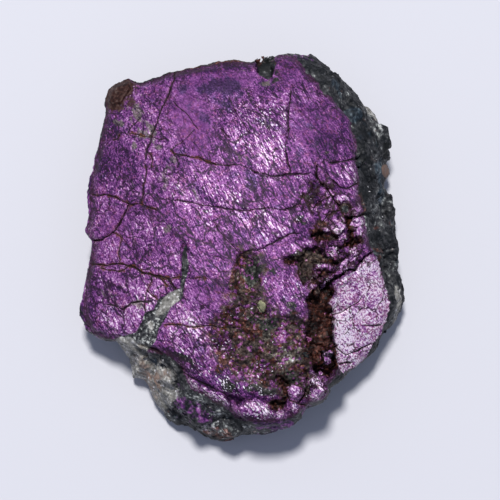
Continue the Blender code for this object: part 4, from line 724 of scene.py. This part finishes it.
def facet_planes(points, normals):
    """Scattered places on the flanks and the underside, each with the slope of the facet round it."""
    rng = np.random.default_rng(7)
    first = 2 + (FACE_RINGS + 2) * SPOKES
    last = len(points) - (BASE_RINGS + 1) * SPOKES
    seeds = rng.integers(first, last, FACET_COUNT)
    slopes = rng.normal(0, FACET_SLOPE, (FACET_COUNT, 3))
    slopes -= normals[seeds] * (slopes * normals[seeds]).sum(axis=1, keepdims=True)
    return points[seeds], slopes


def faceted(points, normals, share, places, slopes):
    """Broken facets: round each place the rock is tilted by its slope, up to where the next one is nearer."""
    lift = np.zeros(len(points))
    weights = np.full(len(points), 1e-9)
    for place, slope in zip(places, slopes):
        offset = points - place
        weight = np.exp(-(offset ** 2).sum(axis=1) / FACET_BLEND ** 2)
        lift += weight * np.clip(offset @ slope, -1, 1)
        weights += weight
    return points + normals * (share * lift / weights)[:, None]


def sharpened(points, normals, rock):
    """Puts the points of the face back on its exact height, with narrow cracks and walls."""
    x, y, z = points.T
    moved = points.copy()
    face = (rock < 0.98) & (normals[:, 2] > 0.02)
    exact = face_height(x[face], y[face], narrow=0.6) - rim_roll(inside_of(FACE_RIM, x, y))[face]
    moved[face, 2] = mix(exact, z[face], rock[face])
    return moved


def streaks(points, across, along, turn, seed):
    """Ridges that run at this bearing in plan, in degrees from +X."""
    a = np.radians(turn)
    u = points[:, 0] * np.cos(a) + points[:, 1] * np.sin(a)
    v = points[:, 1] * np.cos(a) - points[:, 0] * np.sin(a)
    return noise(np.stack([u * across / along, v, points[:, 2] * across / along], axis=-1), across, seed)


def hollow_depth(x, y):
    """Distance to the nearest brown hollow: above zero inside it."""
    return np.maximum.reduce([within(x, y, HOLLOWS[name][2]) for name in BROWN_HOLLOWS])


def patch(x, y, name):
    """The strongest of the soft ellipses of this name at each point."""
    strongest = np.zeros(len(x))
    for cx, cy, rx, ry, turn, strength in PATCHES[name]:
        a = np.radians(turn)
        u = ((x - cx) * np.cos(a) + (y - cy) * np.sin(a)) / rx
        v = ((y - cy) * np.cos(a) - (x - cx) * np.sin(a)) / ry
        strongest = np.maximum(strongest, strength * smooth(1.35 - np.hypot(u, v)))
    return strongest


def roughened(points, normals, share, rock):
    """Broken grains and grit on the rock, in the hollows and in the rusty field; faint streaks on the face."""
    x, y, z = points.T
    rusty = smooth(0.5 + within(x, y, HOLLOWS["rusty field"][2]) / 1.5)
    sunk = smooth(0.7 + hollow_depth(x, y) / 0.3) * smooth((face_level(x, y) - z - 0.1) / 0.3) * (1 - rock)
    broken = patch(x, y, "broken") * (1 - rock)
    height, across, along = STREAK_RIDGES
    ridges = height * (streaks(points, across, along, STREAK_TURNS[0], 31)
                       + 0.6 * streaks(points, across / 2, along / 2, STREAK_TURNS[1], 32))
    face = mix(lumps(points, [FACE_GRAIN], 13) + ridges, 0, rusty) + rubble(points, RUSTY_BLOCKS, 121, rusty)
    lift = mix(face, lumps(points, ROCK_LUMPS, 11), share)
    free = above_foot(z, 0.6)
    lift += rubble(points, ROCK_BLOCKS, 151, rock * (0.3 + 0.7 * share) * free)
    lift += lumps(points, GRIT, 23) * np.maximum(np.maximum(rock, sunk), rusty) * free
    lift += rubble(points, HOLLOW_BLOCKS, 181, sunk) + rubble(points, BROKEN_BLOCKS, 211, broken * (1 - sunk))
    return points + normals * lift[:, None]


def cut_flat(mesh):
    """Slices the underside at the level that the stone rests on and closes the cut."""
    stone = bmesh.new()
    stone.from_mesh(mesh)
    whole = stone.verts[:] + stone.edges[:] + stone.faces[:]
    cut = bmesh.ops.bisect_plane(stone, geom=whole, plane_co=(0, 0, 0), plane_no=(0, 0, 1), clear_inner=True)
    edges = [e for e in cut["geom_cut"] if isinstance(e, bmesh.types.BMEdge)]
    bmesh.ops.holes_fill(stone, edges=edges, sides=0)
    bmesh.ops.triangulate(stone, faces=stone.faces[:])
    stone.to_mesh(mesh)
    stone.free()


def fit_to_box(mesh, low, high):
    """Fits the stone in the box of the solid that it stands for, both in millimetres."""
    points = arrays(mesh)[0]
    least, most = points.min(axis=0), points.max(axis=0)
    least[2] = 0
    move_points(mesh, low + (points - least) * (high - low) / (most - least))


def mark(mesh):
    """Keeps all that the material needs to know about each place on the stone, one number for each point."""
    points, normals = arrays(mesh)
    x, y, z = points.T
    wx, wy = x + lumps(points, PATCH_WANDER, 41), y + lumps(points, PATCH_WANDER, 44)
    far, side, _, half_width, rust = nearest_crack(x, y)
    _, number, joint = blocks(points, BROKEN_BLOCKS[0][1], 211)
    kept = {name: patch(x, y, name) if name in SHARP_PATCHES else patch(wx, wy, name) for name in PATCHES}
    kept["pebble"] *= smooth(1.4 - np.abs(z - PEBBLE_LEVEL) / PEBBLE_REACH)
    kept |= {
        "beyond_rim": -inside_of(FACE_RIM, x, y),
        "rock": rock_share(points, normals),
        "vein": within(x, y, HOLLOWS["grey vein"][2]),
        "hollow": hollow_depth(x, y),
        "rubble": blocks(points, RUSTY_BLOCKS[1][1], 131)[1],
        "block": number,
        "joint": joint,
        "plate": within(x, y, PLATE),
        "rusty_field": within(wx, wy, HOLLOWS["rusty field"][2]),
        "pale_flank": within(wx, wy, PALE_FLANK),
        "crack": side * far,
        "crack_reach": far,
        "crack_rust": rust,
        "crack_size": half_width,
    }
    for name, values in kept.items():
        attribute = mesh.attributes.new(name, "FLOAT", "POINT")
        attribute.data.foreach_set("value", values.astype(np.float32))


def build_stone():
    stone = placed("purpurite_stone", lofted_mesh())
    planes = facet_planes(*arrays(stone.data))
    applied(stone, "REMESH", mode="VOXEL", voxel_size=GRAIN)
    points, normals = arrays(stone.data)
    rock = rock_share(points, normals)
    move_points(stone.data, sharpened(points, normals, rock))
    points, normals = arrays(stone.data)
    share = rock * free_share(points)
    move_points(stone.data, faceted(points, normals, share, *planes))
    points, normals = arrays(stone.data)
    move_points(stone.data, roughened(points, normals, share, rock))
    applied(stone, "TRIANGULATE")
    if len(stone.data.polygons) > TRIANGLES:
        applied(stone, "DECIMATE", ratio=TRIANGLES / len(stone.data.polygons))
    cut_flat(stone.data)
    mark(stone.data)
    low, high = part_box("purpurite")
    fit_to_box(stone.data, np.array(low) * 1000, np.array(high) * 1000)
    stone.data.transform(Matrix.Scale(0.001, 4))
    stone.data.name = "purpurite_stone"
    for face in stone.data.polygons:
        face.use_smooth = True
    return stone


# How far noise bends the cells of the colours, in cells
CELL_WARP = 0.6


class Look:
    """A material's node tree, with a short call for each kind of node that the stone uses.

    Where a call takes a socket, it also takes a plain number, or the name of a number that mark() keeps.
    """

    def __init__(self, name):
        self.material = bpy.data.materials.new(name)
        self.material.use_nodes = True
        self.tree = self.material.node_tree
        self.shader = self.tree.nodes["Principled BSDF"]
        self.place = self.node("TexCoord").outputs["Object"]

    def node(self, kind, inputs=None, **settings):
        """A node with these settings, and with these values in its named inputs."""
        made = self.tree.nodes.new("ShaderNode" + kind)
        for name, value in settings.items():
            setattr(made, name, value)
        for name, value in (inputs or {}).items():
            if isinstance(value, str):
                value = self.node("Attribute", attribute_name=value).outputs["Fac"]
            if isinstance(value, bpy.types.NodeSocket):
                self.tree.links.new(value, made.inputs[name])
            else:
                made.inputs[name].default_value = value
        return made

    def math(self, operation, *values):
        return self.node("Math", dict(enumerate(values)), operation=operation).outputs[0]

    def times(self, a, b):
        return self.math("MULTIPLY", a, b)

    def total(self, start, *terms):
        """The start plus each value times its weight."""
        for value, weight in terms:
            start = self.math("MULTIPLY_ADD", value, weight, start)
        return start

    def step(self, value, low, high):
        """0 up to low and 1 from high, with a smooth rise between; low may be the larger one."""
        settings = {"Value": value, "From Min": low, "From Max": high}
        return self.node("MapRange", settings, interpolation_type="SMOOTHSTEP").outputs[0]

    def grid(self, along, across, turn, seed):
        """Coordinates that grow by 1 over these lengths in millimetres, turned about +Z."""
        settings = {
            "Vector": self.place,
            "Location": (0.0317 * seed, 0.0171 * seed, 0.0113 * seed),
            "Rotation": (0, 0, np.radians(turn)),
            "Scale": (along / 1000, across / 1000, across / 1000),
        }
        return self.node("Mapping", settings, vector_type="TEXTURE").outputs[0]

    def noise(self, size, seed, detail=2, across=None, turn=0):
        """Noise round 0, about 0.5 each way, of this size in millimetres along the turn and across it."""
        settings = {"Vector": self.grid(size, across or size, turn, seed), "Scale": 1, "Detail": detail}
        return self.math("SUBTRACT", self.node("TexNoise", settings).outputs[0], 0.5)

    def cells(self, size, seed, along, turn, **settings):
        """Cells of this size in millimetres, bent by noise; along makes them longer along the turn."""
        grid = self.grid(along or size, size, turn, seed)
        bend = self.node("TexNoise", {"Vector": grid, "Scale": 2, "Detail": 2}).outputs["Color"]
        warped = self.node("VectorMath", {0: bend, 1: (CELL_WARP,) * 3, 2: grid}, operation="MULTIPLY_ADD")
        return self.node("TexVoronoi", {"Vector": warped.outputs[0], "Scale": 1}, **settings).outputs

    def borders(self, size, seed, along=None, turn=0):
        """Distance to the nearest border between cells, in cells."""
        return self.cells(size, seed, along, turn, feature="DISTANCE_TO_EDGE")["Distance"]

    def grains(self, size, seed, along=None, turn=0):
        """Cells that each have their own number from 0 to 1."""
        colour = self.cells(size, seed, along, turn)["Color"]
        return self.node("SeparateColor", {"Color": colour}).outputs["Red"]

    def crumbs(self, size, seed):
        """Cells that each have their own number from -0.5 to 0.5."""
        return self.math("SUBTRACT", self.grains(size, seed), 0.5)

    def ramp(self, value, stops):
        made = self.node("ValToRGB", {"Fac": value})
        for element in list(made.color_ramp.elements)[1:]:
            made.color_ramp.elements.remove(element)
        for place, colour in stops:
            made.color_ramp.elements.new(place).color = (*colour, 1)
        made.color_ramp.elements.remove(made.color_ramp.elements[0])
        return made.outputs["Color"]

    def over(self, base, colour, share, strength=1):
        """One colour laid over another, where a share says so, at this strength."""
        paint = colour if isinstance(colour, bpy.types.NodeSocket) else (*colour, 1)
        share = share if strength == 1 else self.times(share, strength)
        return self.node("Mix", {0: share, 6: base, 7: paint}, data_type="RGBA").outputs[2]

    def between(self, low, high, share):
        """A number between two others."""
        return self.node("Mix", {0: share, 2: low, 3: high}, data_type="FLOAT").outputs[0]


# Colours of each kind of ground, dark to light
PURPLES = [(0, (0.014, 0.004, 0.022)), (0.2, (0.045, 0.010, 0.070)), (0.42, (0.15, 0.036, 0.17)),
           (0.62, (0.29, 0.09, 0.30)), (0.82, (0.54, 0.26, 0.52)), (1, (0.95, 0.78, 0.90))]
MAGENTAS = [(0, (0.016, 0.004, 0.010)), (0.3, (0.075, 0.014, 0.055)), (0.6, (0.30, 0.075, 0.22)),
            (0.85, (0.62, 0.32, 0.50)), (1, (0.95, 0.78, 0.88))]
VIOLETS = [(0, (0.008, 0.004, 0.018)), (0.3, (0.030, 0.014, 0.060)), (0.6, (0.14, 0.065, 0.22)),
           (0.85, (0.38, 0.24, 0.50)), (1, (0.8, 0.7, 0.9))]
OLIVES = [(0, (0.008, 0.008, 0.006)), (0.35, (0.05, 0.042, 0.036)), (0.65, (0.17, 0.15, 0.12)),
          (1, (0.62, 0.62, 0.5))]
RUSTS = [(0, (0.005, 0.002, 0.002)), (0.3, (0.024, 0.007, 0.005)), (0.6, (0.085, 0.025, 0.017)),
         (0.8, (0.22, 0.088, 0.06)), (1, (0.6, 0.42, 0.38))]
EARTHS = [(0, (0.006, 0.004, 0.004)), (0.3, (0.025, 0.016, 0.014)), (0.6, (0.085, 0.056, 0.046)),
          (0.8, (0.20, 0.15, 0.115)), (1, (0.6, 0.52, 0.44))]
GREENS = [(0, (0.005, 0.006, 0.005)), (0.3, (0.018, 0.019, 0.015)), (0.6, (0.075, 0.075, 0.062)),
          (0.8, (0.21, 0.21, 0.18)), (1, (0.7, 0.7, 0.66))]
MATRIX = [(0, (0.002, 0.003, 0.004)), (0.3, (0.011, 0.012, 0.014)), (0.6, (0.044, 0.043, 0.046)),
          (0.8, (0.13, 0.135, 0.13)), (1, (0.5, 0.5, 0.47))]
BLUE_GREYS = [(0, (0.004, 0.008, 0.012)), (0.4, (0.020, 0.030, 0.042)), (0.75, (0.10, 0.135, 0.155)),
              (1, (0.45, 0.5, 0.5))]
PALES = [(0, (0.03, 0.028, 0.025)), (0.35, (0.12, 0.115, 0.10)), (0.7, (0.29, 0.275, 0.25)),
         (1, (0.75, 0.73, 0.68))]
CRACK_DARK = (0.008, 0.004, 0.005)
CRACK_RUST = (0.15, 0.05, 0.012)
CRACK_BROWN = (0.020, 0.007, 0.006)
DARK_VIOLET = (0.022, 0.009, 0.038)
NET_VIOLET = (0.016, 0.005, 0.018)
RIM_BROWN = (0.032, 0.012, 0.020)
DARK_PINK = (0.045, 0.014, 0.035)
FURROW_VIOLET = (0.16, 0.05, 0.17)
DARK_SPECK = (0.01, 0.011, 0.01)
PEACH = (0.36, 0.22, 0.155)
CRYSTAL = (0.30, 0.29, 0.17)
PEBBLE = (0.15, 0.095, 0.075)
BLACK = (0.004, 0.005, 0.005)
# The light lilac of painted glints on the face, the plate and the rusty field
GLINT = (0.92, 0.82, 0.92)
# Pale specks and painted glints on the rock
WHITE = (0.8, 0.76, 0.78)

def sparkle(look):
    """Fine grain of the cleaved face, round 0: streaks, stronger where it is streaked, and crumbs. It is also the
    face's bump; in the colour it is partly the face's own grain and partly painted sparkle where the fibres catch the
    light.
    """
    streaks = look.total(0, (look.noise(1.5, 1, across=0.11, turn=-66), 1.45),
                         (look.noise(1, 2, across=0.1, turn=-42), 1))
    crumbs = look.total(0, (look.noise(0.13, 3), 0.95), (look.crumbs(0.13, 4), 0.3))
    return look.math("MULTIPLY_ADD", streaks, look.total(0.6, ("streaked", 0.6)), crumbs)


def glints(look, size, seed, least, share, along=None, turn=0):
    """Small sharp painted glints, light specks painted into the colour: the grains whose number is above a level that
    a share from 0 to 1 brings down.
    """
    level = look.total(least, (share, -0.08))
    return look.step(look.math("SUBTRACT", look.grains(size, seed, along, turn), level), 0, 0.02)


def hairlines(look, size, seed, width, low, high, along=None, turn=0):
    """A net of thin dark lines between cells of this size, where a slow noise is above a level."""
    line = look.step(look.borders(size, seed, along, turn), width / size, 0.3 * width / size)
    return look.times(line, look.step(look.noise(2.6 * size, seed + 1), low, high))


def face_colour(look, sparks):
    """Purple with grains of magenta and violet, clouds of olive and rust, dark dots and hairlines, made lighter by
    painted light and painted highlights, darker by painted shade, and with painted glints.
    """
    cloud = look.noise(2.6, 5, 3, across=1.4, turn=-50)
    blotch = look.noise(0.6, 6, 4, across=0.4, turn=-60)
    bits = look.total(look.noise(0.5, 69, 3, across=0.14, turn=-20), (look.noise(0.15, 70, 1), 0.5))
    # The tone is lifted by painted light and painted highlights and lowered by painted shade, besides its own grain
    # and clouds
    tone = look.total(
        0.465, (look.times(sparks, look.between(1, 0.35, "calm")), 1.1), (cloud, 0.6), (blotch, 0.4),
        ("painted_light_and_lighter_tone", 0.12), (look.times("painted_highlight", look.step(bits, -0.14, 0.1)), 0.5), ("shade", -0.26),
        (look.times("block", "broken"), 0.34), ("broken", 0.07))
    colour = look.ramp(tone, PURPLES)
    hue = look.total(look.grains(0.2, 14), (look.noise(1.6, 15, 3), 1.2))
    colour = look.over(colour, look.ramp(tone, MAGENTAS), look.step(hue, 0.75, 0.95), 0.7)
    violet = look.total(look.noise(1.5, 7, 4, across=1, turn=-40), ("blue", 0.42), (look.grains(0.22, 16), 0.18))
    violets = look.ramp(look.total(tone, ("blue", -0.26)), VIOLETS)
    colour = look.over(colour, violets, look.step(violet, 0.17, 0.4), 0.85)
    olive = look.total(look.noise(0.7, 8, 4, across=0.4, turn=-60), ("olive", 0.42))
    olives = look.ramp(look.between(tone, 0.68, 0.6), OLIVES)
    colour = look.over(colour, olives, look.step(olive, 0.14, 0.36), 0.8)
    rust = look.total(look.noise(0.5, 9, 4), ("rust", 0.5))
    colour = look.over(colour, look.ramp(look.math("ADD", tone, -0.03), RUSTS), look.step(rust, 0.2, 0.45))
    green = look.total(look.noise(0.4, 63, 4), ("dark_grain", 0.5))
    colour = look.over(colour, look.ramp(look.math("ADD", tone, -0.08), GREENS), look.step(green, 0.24, 0.4))
    dots = look.total(look.grains(0.12, 10, along=0.32, turn=-60), (blotch, -0.6), ("calm", -0.1))
    colour = look.over(colour, DARK_VIOLET, look.step(dots, 0.88, 0.96), 0.85)
    net = look.math("MAXIMUM", hairlines(look, 1.6, 12, 0.075, -0.1, 0, along=3.4, turn=-55),
                    hairlines(look, 0.7, 17, 0.06, 0, 0.07, along=1.5, turn=-35))
    colour = look.over(colour, NET_VIOLET, look.times(net, look.between(0.85, 0.4, "calm")))
    joint = look.step(look.total("joint", (look.noise(0.2, 64), 0.2)), 0.15, 0.04)
    colour = look.over(colour, CRACK_BROWN, look.times(joint, look.step("broken", 0.05, 0.4)), 0.9)
    # Painted glints: light specks painted into the colour, most where painted highlights and painted glitter lie
    shine = look.total(0, ("streaked", 0.35), ("painted_highlight", 1.2), ("painted_glitter", 1.8), ("dark_grain", 0.6),
                       ("calm", -0.5), (cloud, 1.2))
    return look.over(colour, GLINT, glints(look, 0.085, 11, 1.01, shine, along=0.16, turn=-60), 0.8)


def plate_colour(look):
    """The plate: lilac, made lighter by painted sheen, with pale streaks and specks of painted glints, pink and violet
    grains and dark dots.
    """
    streaks = look.total(0, (look.noise(1.6, 21, across=0.1, turn=-40), 2),
                         (look.noise(0.5, 26, 1, across=0.09, turn=20), 0.5))
    tone = look.total(
        0.81, (look.math("MULTIPLY_ADD", streaks, "streaked", streaks), 0.7), (look.noise(0.16, 22), 1),
        (look.crumbs(0.17, 23), 0.35), (look.noise(1.3, 24, 3), 0.7), ("streaked", 0.16), ("shade", -0.2))
    colour = look.ramp(tone, PURPLES)
    hue = look.total(look.grains(0.25, 27), (look.noise(1.4, 28, 3), 1.2))
    colour = look.over(colour, look.ramp(tone, MAGENTAS), look.step(hue, 0.3, 0.75))
    violet = look.total(look.noise(0.9, 25, 3), ("streaked", -0.2))
    colour = look.over(colour, look.ramp(tone, VIOLETS), look.step(violet, 0.06, 0.3), 0.55)
    dots = look.total(look.grains(0.2, 29), (look.noise(0.9, 30, 3), 0.4))
    colour = look.over(colour, DARK_PINK, look.step(dots, 0.95, 1), 0.6)
    furrows = look.step(look.noise(1.8, 68, 1, across=0.14, turn=-42), 0.07, 0.2)
    colour = look.over(colour, FURROW_VIOLET, look.times(furrows, look.total(0.25, ("streaked", 0.65))))
    colour = look.over(colour, CRACK_BROWN, hairlines(look, 1.5, 65, 0.08, -0.06, 0.04), 0.85)
    # Painted glints along the streaks
    shine = look.total(0, ("streaked", 2))
    return look.over(colour, GLINT, glints(look, 0.1, 20, 0.96, shine, along=0.25, turn=-40))


def rusty_colour(look):
    """The rough field: a mosaic of earthy, rusty, dark and olive grains with purple ones among them, and sparse
    painted glints.
    """
    tone = look.total(0.45, (look.noise(0.22, 33, 3), 1.3), (look.crumbs(0.16, 34), 0.3),
                      (look.noise(1.2, 38), 0.8), ("rubble", 0.08))
    colour = look.ramp(tone, EARTHS)
    rust = look.total(look.noise(0.6, 35, 4), ("rubble", 0.1), ("rust", 0.12))
    colour = look.over(colour, look.ramp(tone, RUSTS), look.step(rust, 0.02, 0.16))
    olive = look.total(look.noise(0.5, 36, 4), ("olive", 0.35))
    colour = look.over(colour, look.ramp(look.math("ADD", tone, 0.04), OLIVES), look.step(olive, 0.2, 0.36))
    green = look.total(look.noise(0.4, 66, 4), ("dark_grain", 0.5))
    colour = look.over(colour, look.ramp(look.math("ADD", tone, -0.1), GREENS), look.step(green, 0.2, 0.36))
    purple = look.total(look.grains(0.22, 31), (look.noise(0.8, 32, 3), 1), ("field_purple", 0.42), ("rubble", 0.15))
    share = look.step(purple, 0.8, 1)
    colour = look.over(colour, look.ramp(tone, MAGENTAS), share)
    colour = look.over(colour, look.ramp(tone, PURPLES), look.times(share, look.grains(0.3, 67)))
    # Sparse painted glints, most in painted glitter
    shine = look.total("painted_glitter", ("field_purple", 0.5))
    return look.over(colour, GLINT, glints(look, 0.1, 37, 0.995, shine), 0.8)


def matrix_colour(look):
    """The weathered rock: dark green-grey grains, with blue-grey and rusty patches and pale specks, partly painted
    glints.
    """
    tone = look.total(
        0.38, (look.noise(0.3, 42, 4), 1.4), (look.noise(1.1, 43, 3, across=0.22, turn=-62), 1), ("rubble", 0.06),
        (look.noise(1.6, 48, 3), 1.4), (look.crumbs(0.18, 41), 0.25), ("rock_pale", 0.24), ("rock_dark_and_shade", -0.16))
    colour = look.ramp(tone, MATRIX)
    blue = look.total(look.noise(1.5, 44), ("rock_blue", 0.3))
    colour = look.over(colour, look.ramp(tone, BLUE_GREYS), look.step(blue, 0.12, 0.3))
    rust = look.total(look.noise(0.9, 45, 3), ("rock_rust", 0.35))
    colour = look.over(colour, look.ramp(tone, RUSTS), look.step(rust, 0.14, 0.3))
    violet = look.total(look.noise(0.5, 46, 4), ("rock_violet", 0.4))
    colour = look.over(colour, look.ramp(look.math("ADD", tone, -0.02), PURPLES), look.step(violet, 0.2, 0.4))
    # Pale specks, partly painted glints
    specks = look.total(0, ("rock_pale", 0.3), (look.noise(1, 47), 1))
    return look.over(colour, WHITE, glints(look, 0.12, 49, 1, specks), 0.7)


def pale_colour(look):
    """The pale, smooth rock of the vein and of the flank below it, with a peach tint, dark specks and sparse painted
    glints.
    """
    tone = look.total(0.58, (look.noise(0.28, 51, 4), 1.3), (look.noise(1, 53, 3), 0.9), (look.crumbs(0.16, 52), 0.2))
    colour = look.ramp(tone, PALES)
    colour = look.over(colour, PEACH, look.times(look.step(look.noise(0.8, 54, 3), -0.08, 0.2), "peach"))
    colour = look.over(colour, DARK_SPECK, look.step(look.noise(0.25, 55, 3), 0.17, 0.24))
    # Sparse painted glints
    return look.over(colour, WHITE, glints(look, 0.13, 56, 0.96, look.noise(1, 57)), 0.8)


def vein_colour(look):
    """The grey vein: light and dark grains."""
    tone = look.total(0.56, (look.noise(0.22, 58, 3), 2), (look.noise(0.9, 59), 0.8), (look.crumbs(0.2, 60), 0.4),
                      ("rock_dark_and_shade", -0.2), ("rock_pale", 0.14))
    return look.ramp(tone, MATRIX)


def hollow_colour(look, colour, ragged):
    """Brown crumbs in the hollows, and a stain round them."""
    stain = look.ramp(look.total(0.36, (look.noise(0.2, 75), 1.2)), RUSTS)
    colour = look.over(colour, stain, look.step(look.total("hollow", (ragged, 1.4)), -0.5, 0.1), 0.5)
    tone = look.total(0.34, (look.noise(0.22, 73, 3), 1.6), (look.noise(0.9, 74), 1.1), ("rubble", 0.12))
    crumbs = look.ramp(tone, RUSTS)
    grey = look.step(look.total(look.noise(1.2, 76), ("dark_grain", 0.3)), 0.06, 0.16)
    crumbs = look.over(crumbs, look.ramp(look.math("ADD", tone, 0.08), EARTHS), grey)
    purple = look.step(look.total("rubble", (look.noise(0.5, 77), 1.2)), 0.8, 0.95)
    crumbs = look.over(crumbs, look.ramp(look.math("ADD", tone, 0.1), MAGENTAS), purple)
    return look.over(colour, crumbs, look.step(look.total("hollow", (ragged, 0.5)), -0.12, 0.08))


def cracked_colour(look, colour):
    """The rusty margin of the cracks, and their dark line on it."""
    margin = look.step(look.total("crack_reach", (look.noise(0.35, 62, 3), 0.7)), 0.14, 0.02)
    colour = look.over(colour, CRACK_RUST, look.times(margin, "crack_rust"), 0.8)
    line = look.step(look.math("DIVIDE", look.math("ABSOLUTE", "crack"), "crack_size"), 2, 0.9)
    return look.over(colour, CRACK_DARK, look.times(line, look.step("crack_reach", 0.28, 0.16)), 0.92)


def stone_material():
    look = Look("purple_stone")
    ragged = look.noise(0.3, 71, 4)

    def place(name, wander, low, high):
        """Where this is kept as marked, with a ragged edge."""
        return look.step(look.total(name, (ragged, wander)), low, high)

    sparks = sparkle(look)
    colour = face_colour(look, sparks)
    plate = place("plate", 0.1, -0.04, 0.04)
    colour = look.over(colour, plate_colour(look), plate)
    field = look.total("rusty_field", (look.noise(0.6, 72, 4), 3.4))
    colour = look.over(colour, rusty_colour(look), look.step(field, -0.85, 0.1))
    colour = cracked_colour(look, colour)
    edge = look.step(look.total("beyond_rim", (look.noise(0.6, 78, 4), 1.4)), -0.6, 0.1)
    colour = look.over(colour, RIM_BROWN, look.times(edge, look.between(0.75, 0.25, plate)))
    brown = look.total(0.38, (ragged, 1.5))
    brown = look.over(look.ramp(brown, EARTHS), look.ramp(brown, RUSTS), look.step(ragged, 0.2, -0.05))
    colour = look.over(colour, brown, place("knob", 1.6, 0.15, 0.75))
    colour = hollow_colour(look, colour, ragged)
    # Shards painted light lilac, partly painted highlight
    shard = look.ramp(look.total(0.76, (sparks, 1)), PURPLES)
    colour = look.over(colour, shard, place("shard", 1.4, 0.5, 0.7))
    colour = look.over(colour, CRYSTAL, place("crystal", 1.6, 0.5, 0.7))
    vein = place("vein", 0.16, -0.03, 0.04)
    pale = look.math("MAXIMUM", place("pale_flank", 0.8, -0.1, 0.15), place("pale", 0.8, 0.4, 0.6))
    matrix = look.over(matrix_colour(look), vein_colour(look), vein)
    matrix = look.over(matrix, pale_colour(look), pale)
    matrix = look.over(matrix, PEBBLE, place("pebble", 0.6, 0.5, 0.7))
    matrix = look.over(matrix, BLACK, place("black", 0.8, 0.4, 0.7))
    rock = look.math("MAXIMUM", look.math("MAXIMUM", place("rock", 1, 0.35, 0.55), vein), place("bare", 0.8, 0.4, 0.6))
    height = look.between(sparks, look.noise(0.18, 81, 4), rock)
    bump = look.node("Bump", {"Height": height, "Distance": 0.00002, "Strength": 1})
    inputs = look.shader.inputs
    inputs["Specular IOR Level"].default_value = 0.25
    link = look.tree.links.new
    link(look.over(colour, matrix, rock), inputs["Base Color"])
    link(bump.outputs[0], inputs["Normal"])
    link(look.between(0.56, 0.6, rock), inputs["Roughness"])
    link(look.between(0.25, 0, rock), inputs["Metallic"])
    return look.material


# The camera, at the photograph's viewing angle: place in millimetres, turns in degrees, lens in millimetres
CAMERA_PLACE = (-5.597, -25.200, 183.096)
CAMERA_TURNS = (7.89292, -2.01532, 0.50731)
LENS = 161.32
NEAREST_SEEN = 0.01

# The light and the floor: bearing and height in degrees, sizes in metres
KEY_BEARING = 105.0
KEY_HEIGHT = 73.0
KEY_DISTANCE = 0.7
KEY_SIZE = 0.10
KEY_POWER = 5.0
FILL_COLOUR = (0.62, 0.72, 1.0)
FILL_STRENGTH = 0.35
FLOOR_SIZE = 0.6
FLOOR_COLOUR = (0.64, 0.63, 0.66)
FLOOR_ROUGHNESS = 0.8


def add_camera():
    data = bpy.data.cameras.new("camera")
    data.lens = LENS
    data.clip_start = NEAREST_SEEN
    camera = placed("camera", data)
    x_turn, y_turn, z_turn = (Matrix.Rotation(np.radians(a), 4, axis) for a, axis in zip(CAMERA_TURNS, "XYZ"))
    camera.matrix_world = Matrix.Translation(Vector(CAMERA_PLACE) / 1000) @ z_turn @ y_turn @ x_turn
    bpy.context.scene.camera = camera


def add_key_light():
    bearing, height = np.radians(KEY_BEARING), np.radians(KEY_HEIGHT)
    place = Vector((np.cos(bearing) * np.cos(height), np.sin(bearing) * np.cos(height), np.sin(height)))
    data = bpy.data.lights.new("key", "AREA")
    data.shape = "DISK"
    data.size = KEY_SIZE
    data.energy = KEY_POWER
    light = placed("key", data)
    light.location = place * KEY_DISTANCE
    light.rotation_euler = place.to_track_quat("Z", "Y").to_euler()


def add_fill():
    world = bpy.data.worlds.new("fill")
    world.use_nodes = True
    background = world.node_tree.nodes["Background"]
    background.inputs["Color"].default_value = (*FILL_COLOUR, 1)
    background.inputs["Strength"].default_value = FILL_STRENGTH
    bpy.context.scene.world = world


def add_floor():
    half = FLOOR_SIZE / 2
    mesh = bpy.data.meshes.new("floor")
    mesh.from_pydata([(-half, -half, 0), (half, -half, 0), (half, half, 0), (-half, half, 0)], [], [(0, 1, 2, 3)])
    look = Look("floor")
    look.shader.inputs["Base Color"].default_value = (*FLOOR_COLOUR, 1)
    look.shader.inputs["Roughness"].default_value = FLOOR_ROUGHNESS
    mesh.materials.append(look.material)
    floor = placed("floor", mesh)


add_camera()
add_key_light()
add_fill()
add_floor()
bpy.context.scene.view_settings.view_transform = "Standard"

stone = build_stone()
stone.data.materials.append(stone_material())
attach(stone, "root")
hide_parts("purpurite")
